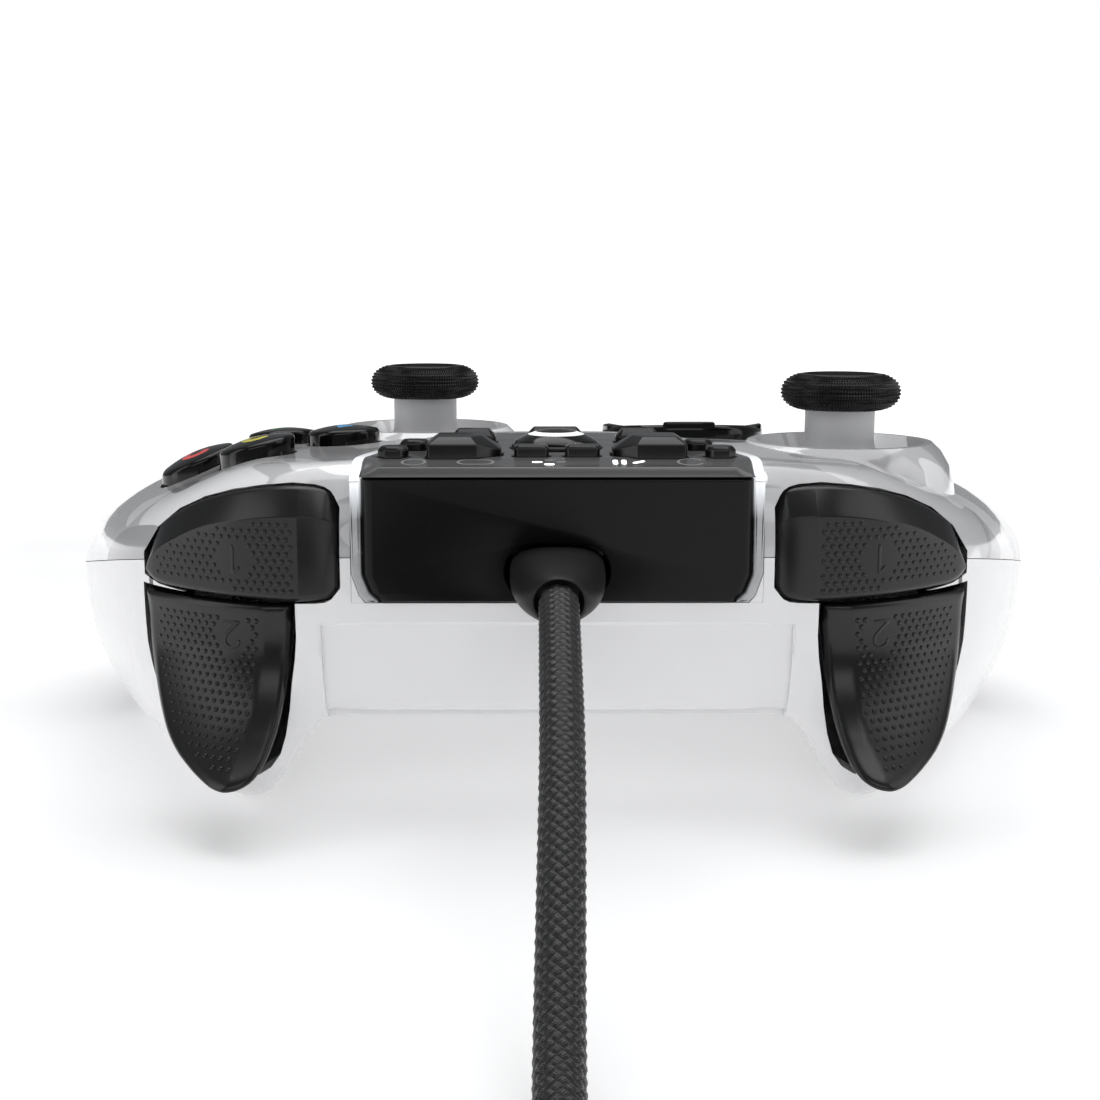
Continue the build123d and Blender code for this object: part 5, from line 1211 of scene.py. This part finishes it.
# ---------------------------------------------------------------- face buttons
DIGITS = {
    "1": [[(-0.55, 0.75), (0.1, 1.3), (0.1, -1.3)]],
    "2": [[(-0.75, 0.65), (-0.6, 1.05), (-0.2, 1.28), (0.25, 1.28), (0.65, 1.0), (0.75, 0.6), (0.6, 0.15), (0.1, -0.4), (-0.8, -1.28), (0.85, -1.28)]],
    "3": [[(-0.7, 0.9), (-0.35, 1.22), (0.1, 1.3), (0.55, 1.1), (0.7, 0.7), (0.5, 0.25), (0.0, 0.08)],
          [(0.0, 0.08), (0.55, -0.08), (0.8, -0.55), (0.6, -1.05), (0.1, -1.3), (-0.4, -1.22), (-0.78, -0.85)]],
    "4": [[(0.45, -1.3), (0.45, 1.3), (-0.85, -0.45), (0.9, -0.45)]],
}
BUTTON_SITES = FACE_SITES
for nm, digit, colour in (("blue_button", "1", (0.05, 0.45, 0.95)), ("green_button", "4", (0.15, 0.75, 0.20)), ("red_button", "2", (0.90, 0.06, 0.05)),
                          ("yellow_button", "3", (0.85, 0.75, 0.03))):
    cx, cy, zt, nx, ny = BUTTON_SITES[nm]
    nv = np.array([nx, ny, 1.0])
    nv /= np.linalg.norm(nv)
    bc = np.array([cx, cy, zt]) - nv * 17.0
    dome = lambda x, y, bc=bc: bc[2] + math.sqrt(max(0.0, 17.0 ** 2 - (x - bc[0]) ** 2 - (y - bc[1]) ** 2))
    rr_ = [0.0] + list(np.linspace(0.8, 4.6, 10)) + [5.2 - 0.5 * (1 - math.cos(math.pi / 2 * (1 - k / 5))) for k in range(1, 6)][::1]
    rr_ = [0.0] + list(np.linspace(0.8, 4.7, 10)) + [4.7 + 0.5 * math.sin(math.pi / 2 * k / 5) for k in range(1, 6)]
    seg = 80
    verts = [(cx, cy, dome(cx, cy))]
    faces = []
    for r in rr_[1:]:
        drop = 0.5 - math.sqrt(max(0.0, 0.25 - max(0.0, r - 4.7) ** 2))
        for i in range(seg):
            a = 2 * math.pi * i / seg
            x, y = cx + r * math.cos(a), cy + r * math.sin(a)
            verts.append((x, y, dome(x, y) - drop))
    for i in range(seg):
        a = 2 * math.pi * i / seg
        verts.append((cx + 5.2 * math.cos(a), cy + 5.2 * math.sin(a), 42.5))
    rows = len(rr_)
    for i in range(seg):
        faces.append((0, 1 + i, 1 + (i + 1) % seg))
    for k in range(rows - 1):
        for i in range(seg):
            j = (i + 1) % seg
            faces.append((1 + k * seg + i, 1 + (k + 1) * seg + i, 1 + (k + 1) * seg + j, 1 + k * seg + j))
    faces.append(tuple(range(1 + (rows - 1) * seg, 1 + rows * seg)))
    cap = outward(build(nm + "_cap", verts, faces, [GLOSS], sharp=50))
    place(cap, nm)
    numeral = plastic(nm + "_numeral", colour, 0.25, 0.1, 0.05, coat=0.8)
    lay = lambda u, v, l, cx=cx, cy=cy, dome=dome: (cx - u * 1.95, cy - v * 1.95, dome(cx - u * 1.95, cy - v * 1.95) + l)
    num = face_up(ribbon(nm + "_digit", DIGITS[digit], 0.56, lay, numeral, 0.015), (0, 0, 1))
    follow(num, NODE_BODY[nm])

# ---------------------------------------------------------------- direction pad
PX, PY = 20.8, 14.1
dp = [(0, 44.4), (11.9, 44.4), (11.9, 41.6), (13.0, 41.6), (13.3, 43.0), (13.3, 46.3), (13.22, 46.75), (13.0, 47.05), (12.6, 47.3), (12.3, 47.28)]
for k in range(1, 17):
    r = 12.3 * (1 - k / 16)
    dp.append((r, 45.1 + 2.1 * (r / 12.3) ** 6))
dish = lathe("pad_dish", dp, (PX, PY), 112, [GLOSS], 32)


def cross():
    h, rad = 4.1, 13.2
    rr = 0.55
    edge = [0, 0.03, 0.09, 0.18, 0.3, 0.43, 0.57, 0.8]
    ys = sorted(set([-h + e for e in edge] + [h - e for e in edge] + list(np.linspace(-h + 0.8, h - 0.8, 9))))
    ts = sorted(set(list(np.linspace(0, 1, 20)) + [1 - e / 8.5 for e in edge]))

    def height(x, y):
        r = math.hypot(x, y)
        if abs(x) <= h and abs(y) <= h:
            d = math.hypot(h - abs(x), h - abs(y))
        elif abs(x) > h:
            d = min(h - abs(y), rad - r)
        else:
            d = min(h - abs(x), rad - r)
        d = max(0.0, d)
        drop = rr - math.sqrt(max(0.0, rr * rr - max(0.0, rr - d) ** 2))
        return 46.6 + 69.7 - math.sqrt(69.7 ** 2 - r * r) - drop
    index, verts, faces = {}, [], []

    def v(x, y, z=None):
        key = (round(x, 5), round(y, 5), None if z is None else round(z, 5))
        if key not in index:
            index[key] = len(verts)
            verts.append((PX + x, PY + y, height(x, y) if z is None else z))
        return index[key]

    for a, b in zip(ys, ys[1:]):
        for c, d in zip(ys, ys[1:]):
            faces.append((v(a, c), v(b, c), v(b, d), v(a, d)))
    for turn in range(4):
        co, si = [(1, 0), (0, 1), (-1, 0), (0, -1)][turn]
        rot = lambda x, y: (x * co - y * si, x * si + y * co)
        def pt(t, y):
            xe = math.sqrt(rad * rad - y * y)
            return rot(h + (xe - h) * t, y)
        for a, b in zip(ts, ts[1:]):
            for c, d in zip(ys, ys[1:]):
                faces.append((v(*pt(a, c)), v(*pt(b, c)), v(*pt(b, d)), v(*pt(a, d))))
        # walls: the end and both flanks
        for c, d in zip(ys, ys[1:]):
            p, q = pt(1, c), pt(1, d)
            faces.append((v(*p), v(p[0], p[1], 45.0), v(q[0], q[1], 45.0), v(*q)))
        for yy in (-h, h):
            for a, b in zip(ts, ts[1:]):
                p, q = pt(a, yy), pt(b, yy)
                faces.append((v(*p), v(p[0], p[1], 45.0), v(q[0], q[1], 45.0), v(*q)))
    return outward(build("pad_cross", verts, faces, [GLOSS], sharp=42))


pad = join("pad_whole", [dish, cross()])
for v_ in pad.data.vertices:
    # the pad's face leans back a little with the housing's own slope
    z_ = v_.co.z / MM
    lift_ = 1.2 + 0.114 * (PY - v_.co.y / MM)
    v_.co.z += lift_ * min(1.0, max(0.0, (z_ - 44.6) / 1.5)) * MM
    slim_ = 1 - 0.022 * min(1.0, max(0.0, (z_ - 43.5) / 2.0))
    v_.co.x = PX * MM + (v_.co.x - PX * MM) * slim_
    v_.co.y = PY * MM + (v_.co.y - PY * MM) * slim_
place(pad, "dpad")

# ---------------------------------------------------------------- sticks
def stick(side, cx, cy):
    prof = [(2.2, 32.9), (0, 32.9)]
    R, P = 13.3, 35.0
    a1, a2 = math.radians(22.3), math.radians(75)
    outer_ = [(R * math.sin(a), P + R * math.cos(a)) for a in np.linspace(a2, a1 + 0.05, 22)]
    inner_ = [((R - 1) * math.sin(a), P + (R - 1) * math.cos(a)) for a in np.linspace(math.asin(2.2 / (R - 1)), a2, 16)]
    flare = [(5.75, 47.2), (5.35, 47.7), (5.12, 48.3), (5.05, 49.0), (5.05, 50.5), (5.05, 52.2), (5.05, 54.1), (0, 54.1)]
    prof = [(0, 32.9), (2.2, 32.9)] + inner_ + outer_ + flare
    post = lathe(side + "_stem", prof, (cx, cy), 112, [STICK], 40)
    place(post, side + "_stick_post")
    # cap: a tyre with rows of small teeth all round, and a smooth dish in its top
    top = [(6.0, 58.36), (5.75, 58.46), (5.5, 58.5), (5.3, 58.44), (5.1, 58.28), (4.8, 57.98), (4.4, 57.65), (3.6, 57.25),
           (2.6, 57.02), (1.4, 56.86)]
    low = [(5.05, 52.74), (5.5, 52.76)]
    seg = 260
    squeeze = lambda z: 58.33 - 0.9 * (58.33 - z)
    pts = [(5.5, 52.78), (6.5, 52.98), (7.3, 53.34), (8.0, 53.9), (8.4, 54.5), (8.56, 55.05), (8.6, 55.6), (8.52, 56.3), (8.25, 56.95),
           (7.75, 57.5), (7.1, 57.96), (6.45, 58.22), (6.05, 58.33)]
    pts = [(r, squeeze(z)) for r, z in pts]
    low = [(r, squeeze(z)) for r, z in low]
    ds = np.concatenate([[0], np.cumsum([math.dist(a, b) for a, b in zip(pts, pts[1:])])])
    count = 30
    band = []
    for k in range(count + 1):
        s = ds[-1] * k / count
        r = float(np.interp(s, ds, [p[0] for p in pts]))
        z = float(np.interp(s, ds, [p[1] for p in pts]))
        e = 0.3
        tr = float(np.interp(s + e, ds, [p[0] for p in pts]) - np.interp(s - e, ds, [p[0] for p in pts]))
        tz = float(np.interp(s + e, ds, [p[1] for p in pts]) - np.interp(s - e, ds, [p[1] for p in pts]))
        q = math.hypot(tr, tz)
        nr, nz = tz / q, -tr / q
        row = []
        for i in range(seg):
            up = -0.13
            if 0 < k < count and k % 2 == 1 and i % 2 == 0:
                up = 0.15
            row.append((r + nr * up, z + nz * up))
        band.append(row)
    rows = [[(r, z)] * seg for r, z in low] + band + [[(r, z)] * seg for r, z in top]
    verts, faces = [], []
    for row in rows:
        for i, (r, z) in enumerate(row):
            a = 2 * math.pi * i / seg
            verts.append((cx + r * math.cos(a), cy + r * math.sin(a), z))
    for k in range(len(rows) - 1):
        for i in range(seg):
            j = (i + 1) % seg
            faces.append((k * seg + i, k * seg + j, (k + 1) * seg + j, (k + 1) * seg + i))
    verts.append((cx, cy, 56.8))
    for i in range(seg):
        faces.append((len(verts) - 1, (len(rows) - 1) * seg + i, (len(rows) - 1) * seg + (i + 1) % seg))
    faces.append(tuple(range(seg))[::-1])
    cap = outward(build(side + "_tyre", verts, faces, [TYRE, DISH], sharp=180))
    me = cap.data
    inner_rows = (len(low) + len(band) + 2) * seg
    slots_ = np.zeros(len(me.polygons), np.int32)
    slots_[inner_rows:] = 1
    slots_[-1] = 0
    me.polygons.foreach_set("material_index", slots_)
    # the teeth stay flat-sided, the rest is smooth
    flat = np.ones(len(me.polygons), bool)
    for k in range(len(low), len(low) + len(band) - 1):
        flat[k * seg:(k + 1) * seg] = False
    me.polygons.foreach_set("use_smooth", flat)
    place(cap, side + "_stick_cap")


stick("left", 41.8, -9.8)
stick("right", -20.8, 14.1)

# ---------------------------------------------------------------- bumpers
BUMPER = [(28.0, -43.8, 31.75, 41.75, 45.1), (31.0, -43.75, 31.4, 42.3, 45.75), (34.0, -43.3, 31.3, 42.4, 45.9),
          (38.0, -42.2, 31.4, 42.1, 45.5), (42.0, -40.7, 31.5, 41.4, 44.8), (46.0, -38.6, 31.6, 40.4, 43.6),
          (50.0, -36.2, 31.8, 38.6, 41.7), (53.4, -33.7, 32.1, 36.4, 39.0), (55.4, -32.0, 32.9, 34.2, 35.4)]


def hermite(xs, ys, x):
    xs, ys = np.array(xs, float), np.array(ys, float)
    m = np.gradient(ys, xs)
    k = int(np.clip(np.searchsorted(xs, x) - 1, 0, len(xs) - 2))
    h = xs[k + 1] - xs[k]
    t = min(max((x - xs[k]) / h, 0), 1)
    return float((2 * t ** 3 - 3 * t ** 2 + 1) * ys[k] + (t ** 3 - 2 * t ** 2 + t) * h * m[k] + (-2 * t ** 3 + 3 * t ** 2) * ys[k + 1] + (t ** 3 - t ** 2) * h * m[k + 1])


BX = [s[0] for s in BUMPER]


def bumper_at(x):
    yf, zb, zc, zt = (hermite(BX, [s[i] for s in BUMPER], x) for i in (1, 2, 3, 4))
    # the inner facet leans back towards the middle, behind a crease
    if x < 33.0:
        yf += 0.23 * (33.0 - x)
    else:
        yf += 0.02
    # rounded corners at the inner end, and a rounded outer tip
    for r, d in ((1.75, x - 28.0), (1.6, 55.4 - x)):
        if d < r:
            q = r - math.sqrt(max(0.0, r * r - (r - max(d, 0)) ** 2))
            lim = 0.42 * (zt - zb)
            q = min(q, lim)
            zb += q
            zt -= q
            zc -= q * 0.75
            yf += 0.35 * q
    return yf, zb, zc, zt


def bumper():
    xs = sorted(set([28.0, 28.05, 28.15, 28.3, 28.5, 28.75, 29.05, 29.4, 29.9, 32.9, 33.0, 33.1] + list(np.linspace(30.5, 53.6, 60)) + [53.8, 54.1, 54.4, 54.65, 54.9, 55.1, 55.25, 55.35, 55.4]))
    verts, faces, m = [], [], None
    for x in xs:
        yf, zb, zc, zt = bumper_at(x)
        s = min(1.0, (zt - zb) / 4.0)
        poly = round_poly([(yf, zb), (yf + 5, zb), (yf + 5, zt), (yf + 2.6, zt), (yf, zc)], [1.0 * s, 0.3 * s, 0.3 * s, 0.9 * s, 0.35 * s], 5)
        m = len(poly)
        verts += [(x, y, z) for y, z in poly]
    for i in range(len(xs) - 1):
        for k in range(m):
            j = (k + 1) % m
            faces.append((i * m + k, i * m + j, (i + 1) * m + j, (i + 1) * m + k))
    faces += [tuple(range(m)), tuple(range((len(xs) - 1) * m, len(xs) * m))]
    return outward(build("left_bumper_face", verts, faces, [SATIN], sharp=28))


def studs(name, sites, mat):
    """small domed studs: (point, normal, radius, height)"""
    verts, faces = [], []
    for p, nrm, r, h in sites:
        nrm = np.array(nrm, float)
        nrm /= np.linalg.norm(nrm)
        u = np.cross(nrm, [0, 0, 1.0])
        u /= np.linalg.norm(u)
        v = np.cross(nrm, u)
        s = len(verts)
        p = np.array(p, float)
        for rk, hk in ((1.0, -0.06 / max(h, 0.01) * h), (0.92, 0.45 * h), (0.62, 0.85 * h)):
            for i in range(8):
                a = 2 * math.pi * i / 8
                verts.append(p + (u * math.cos(a) + v * math.sin(a)) * r * rk + nrm * hk)
        verts.append(p + nrm * h)
        for k in range(2):
            for i in range(8):
                j = (i + 1) % 8
                faces.append((s + k * 8 + i, s + k * 8 + j, s + (k + 1) * 8 + j, s + (k + 1) * 8 + i))
        for i in range(8):
            faces.append((s + 16 + i, s + 16 + (i + 1) % 8, s + 24))
    return build(name, verts, faces, [mat], sharp=180)


def bumper_sites():
    sites = []
    row = 0
    z = 32.7
    while z < 42.6:
        x = 33.9 + (0.55 if row % 2 else 0.0)
        while x < 53.6:
            yf, zb, zc, zt = bumper_at(x)
            e = 0.3
            slope = (bumper_at(x + e)[0] - bumper_at(x - e)[0]) / (2 * e)
            fade = 1 - (x - 33.9) / 24.0
            centre = ((x - 41.6) / 2.6) ** 2 + ((z - 36.5) / 2.9) ** 2 < 1
            if zb + 1.2 < z < zc - 0.55 and not centre:
                sites.append(((x, yf, z), (slope, -1.0, 0.0), 0.22 + 0.17 * fade, 0.10 + 0.14 * fade))
            x += 1.1
        z += 0.96
        row += 1
    return sites


def body_of_pair(node):
    return NODE_BODY[node]


def pair(make_face, make_sites, name, digit_at, digit, mat):
    face = make_face()
    st = studs(name + "_studs", make_sites(), mat)
    outward_ok = face_up(st, (0, -1, 0))
    left = [face, st]
    right = [mirrored(face, "right_%s_face" % name), mirrored(st, "right_%s_studs" % name)]
    for o in right:
        if not o.data.materials:
            o.data.materials.append(mat)
    for side, (f, s) in (("left", left), ("right", right)):
        node = "%s_%s" % (side, name)
        place(f, node)
        follow(s, NODE_BODY[node])
        k = 1 if side == "left" else -1
        num = ribbon("%s_%s_mark" % (side, name), DIGITS[digit], 0.40, (lambda u, v, l, k=k: digit_at(u, v, l, k)), BUTTON, 0.10, 0.14)
        face_up(num, (0, -1, 0))
        follow(num, NODE_BODY[node])


NUMERAL = plastic("numeral_grey", (0.42, 0.42, 0.43), 0.4, 0.1, 0.04)


def bumper_digit(u, v, l, k):
    x = 41.6 - u * k * 1.35
    return (x * k, bumper_at(x)[0] - l, 36.5 - v * 1.35)


pair(bumper, bumper_sites, "bumper", bumper_digit, "1", SATIN)

# ---------------------------------------------------------------- triggers
TRIGGER = [(34.3, 27.6), (34.6, 25.0), (35.1, 21.2), (35.6, 17.4), (36.3, 13.8), (37.2, 11.3), (38.4, 9.7), (39.8, 8.95),
           (41.3, 8.65), (43.3, 8.8), (45.6, 9.6), (47.5, 10.5), (49.4, 11.6), (51.5, 13.5), (52.8, 15.4), (53.9, 17.6),
           (54.8, 20.1), (55.4, 22.6), (55.75, 25.4)]
TOP = 30.6
CREASE = [(38.1, 29.0), (38.45, 24.0), (38.8, 19.0), (39.5, 14.0), (41.0, 10.0), (42.0, 8.6)]


def trig_y(x, z):
    f = (TOP - z) / 22.2
    return -42.9 + 15 * max(0.0, (x - 28) / 31) ** 2 + 2.6 * math.sin(math.pi * min(max(f, 0), 1)) - 12.33 * max(f, 0) ** 1.9


def crease_x(z):
    zs = [p[1] for p in CREASE][::-1]
    return float(np.interp(z, zs, [p[0] for p in CREASE][::-1]))


def trig_front(x, z):
    d = crease_x(z) - x
    return trig_y(x, z) + (0.36 * d if d > 0 else 0.0)


def outline_points():
    xs, zs = [p[0] for p in TRIGGER], [p[1] for p in TRIGGER]
    p = np.array([(34.3, TOP)] + TRIGGER + [(55.75, TOP)], float)
    d = np.concatenate([[0], np.cumsum(np.linalg.norm(np.diff(p, axis=0), axis=1))])
    q = []
    s = 0.0
    while s < d[-1]:
        q.append((hermite(d, p[:, 0], s) if 3.2 < s < d[-1] - 5.4 else float(np.interp(s, d, p[:, 0])),
                  hermite(d, p[:, 1], s) if 3.2 < s < d[-1] - 5.4 else float(np.interp(s, d, p[:, 1]))))
        s += 0.42
    q.append((55.75, TOP))
    n = int((55.75 - 34.3) / 0.5)
    q += [(55.75 - (55.75 - 34.3) * k / n, TOP) for k in range(1, n)]
    return q


def nearest(poly, x, y):
    a = np.array(poly)
    b = np.roll(a, -1, 0)
    e = b - a
    t = np.clip(((x - a[:, 0]) * e[:, 0] + (y - a[:, 1]) * e[:, 1]) / np.maximum((e ** 2).sum(1), 1e-12), 0, 1)
    return float(np.hypot(x - a[:, 0] - t * e[:, 0], y - a[:, 1] - t * e[:, 1]).min())


def inside(poly, x, y):
    c = False
    for (x0, y0), (x1, y1) in zip(poly, poly[1:] + poly[:1]):
        if (y0 > y) != (y1 > y) and x < (x1 - x0) * (y - y0) / (y1 - y0) + x0:
            c = not c
    return c


TRIG_OUT = ccw(outline_points())
ROLL = 1.25


def roll(d):
    return ROLL - math.sqrt(max(0.0, ROLL ** 2 - max(0.0, ROLL - d) ** 2)) if d < ROLL else 0.0


def trigger():
    from mathutils.geometry import delaunay_2d_cdt
    pts = list(TRIG_OUT)
    depth = [0.0] * len(pts)
    n = len(pts)
    for k, d in enumerate((0.04, 0.13, 0.27, 0.46, 0.7, 0.97, 1.25, 1.55)):
        ring = inset(TRIG_OUT, d)
        for x, z in ring:
            if inside(TRIG_OUT, x, z):
                dd = nearest(TRIG_OUT, x, z)
                if dd > d * 0.93:
                    pts.append((x, z))
    z = 8.9
    while z < TOP:
        cx_ = crease_x(z)
        x = 34.0
        while x < 56:
            if inside(TRIG_OUT, x, z) and nearest(TRIG_OUT, x, z) > 1.85 and abs(x - cx_) > 0.35:
                pts.append((x, z))
            x += 0.55
        if inside(TRIG_OUT, cx_, z) and nearest(TRIG_OUT, cx_, z) > 1.85:
            pts.append((cx_, z))
        z += 0.55
    res = delaunay_2d_cdt([Vector(p) for p in pts], [], [list(range(n))], 1, 1e-5)
    v2, tris = res[0], res[2]
    front, back = [], []
    for p in v2:
        x, z = p[0], p[1]
        d = nearest(TRIG_OUT, x, z)
        front.append((x, trig_front(x, z) + roll(d), z))
        back.append((x, max(trig_y(x, z) + 2.0, trig_front(x, z) + 1.35), z))
    # edge of the plate
    m = len(v2)
    faces = [tuple(t) for t in tris] + [tuple(m + q for q in t[::-1]) for t in tris]
    count = {}
    for t in tris:
        for a, b in zip(t, list(t[1:]) + [t[0]]):
            count.setdefault((min(a, b), max(a, b)), []).append((a, b))
    for e, uses in count.items():
        if len(uses) == 1:
            a, b = uses[0]
            faces.append((b, a, m + a, m + b))
    return outward(build("left_trigger_face", front + back, faces, [SATIN], sharp=55))


def trigger_sites():
    sites = []
    row = 0
    z = 11.0
    while z < TOP - 1.7:
        x = crease_x(z) + 0.9 + (0.55 if row % 2 else 0.0)
        while x < 55.5:
            d = nearest(TRIG_OUT, x, z) if inside(TRIG_OUT, x, z) else -1
            centre = ((x - 42.6) / 2.7) ** 2 + ((z - 26.2) / 2.9) ** 2 < 1
            if d > 1.8 and not centre:
                fade = min(1.0, max(0.0, 1 - (x - 42.0) / 17.0))
                e = 0.3
                sx = (trig_front(x + e, z) - trig_front(x - e, z)) / (2 * e)
                sz = (trig_front(x, z + e) - trig_front(x, z - e)) / (2 * e)
                sites.append(((x, trig_front(x, z), z), (sx, -1.0, sz), 0.22 + 0.17 * fade, 0.10 + 0.14 * fade))
            x += 1.1
        z += 0.96
        row += 1
    return sites


def trigger_digit(u, v, l, k):
    x, z = 42.6 - u * k * 1.35, 26.2 - v * 1.35
    return (x * k, trig_front(x, z) - l, z)


pair(trigger, trigger_sites, "trigger", trigger_digit, "2", SATIN)

# ---------------------------------------------------------------- surroundings
def table_top():
    """pale table that fades into the bright backdrop"""
    k = Nodes("table_white")
    far = k.n.new("ShaderNodeVectorMath")
    far.operation = "LENGTH"
    k.link(k.coord.outputs["Object"], far.inputs[0])
    w = k.span(far.outputs["Value"], 0.22, 0.9, 0.0, 1.0)
    n = k.noise(30.0, 3.0)
    k.set(color=k.ramp(n, [(0.3, (0.90, 0.90, 0.905)), (0.7, (0.915, 0.915, 0.92))]), rough=k.span(n, 0.3, 0.7, 0.4, 0.5), spec=0.2)
    k.set(emit=(1.0, 1.0, 1.0), emit_s=k.span(w, 0.0, 1.0, 0.27, 1.0))
    return k.mat


floor_mat = table_top()
fm = bpy.data.meshes.new("table")
fm.from_pydata([(-3, -3, 0), (3, -3, 0), (3, 3, 0), (-3, 3, 0)], [], [(0, 1, 2, 3)])
fm.materials.append(floor_mat)
table = bpy.data.objects.new("table", fm)
SCENE.collection.objects.link(table)


def area(name, loc, aim, size, power, tint=(1, 1, 1)):
    d = bpy.data.lights.new(name, "AREA")
    d.shape = "RECTANGLE"
    d.size, d.size_y = size
    d.energy = power
    d.color = tint
    o = bpy.data.objects.new(name, d)
    o.location = loc
    o.rotation_euler = (Vector(aim) - Vector(loc)).to_track_quat("-Z", "Y").to_euler()
    SCENE.collection.objects.link(o)
    return o


area("top_light", (0.05, 0.10, 0.75), (0, -0.01, 0.03), (0.9, 0.7), 4.5)
area("left_light", (-0.75, -0.25, 0.35), (0, 0, 0.03), (0.35, 0.8), 1.25)
area("right_light", (0.75, -0.15, 0.35), (0, 0, 0.03), (0.35, 0.8), 1.1)
area("front_light", (0.0, -0.85, 0.55), (0, 0, 0.02), (0.9, 0.35), 1.35)
world = bpy.data.worlds.new("surroundings")
SCENE.world = world
world.use_nodes = True
wt = world.node_tree
bg = wt.nodes["Background"]
bg2 = wt.nodes.new("ShaderNodeBackground")
mixw = wt.nodes.new("ShaderNodeMixShader")
lp = wt.nodes.new("ShaderNodeLightPath")
bg.inputs["Color"].default_value = (0.80, 0.82, 0.85, 1)
bg.inputs["Strength"].default_value = 0.24
bg2.inputs["Color"].default_value = (1, 1, 1, 1)
bg2.inputs["Strength"].default_value = 1.0
wt.links.new(lp.outputs["Is Camera Ray"], mixw.inputs[0])
wt.links.new(bg.outputs[0], mixw.inputs[1])
wt.links.new(bg2.outputs[0], mixw.inputs[2])
wt.links.new(mixw.outputs[0], wt.nodes["World Output"].inputs["Surface"])
SCENE.view_settings.view_transform = "Standard"
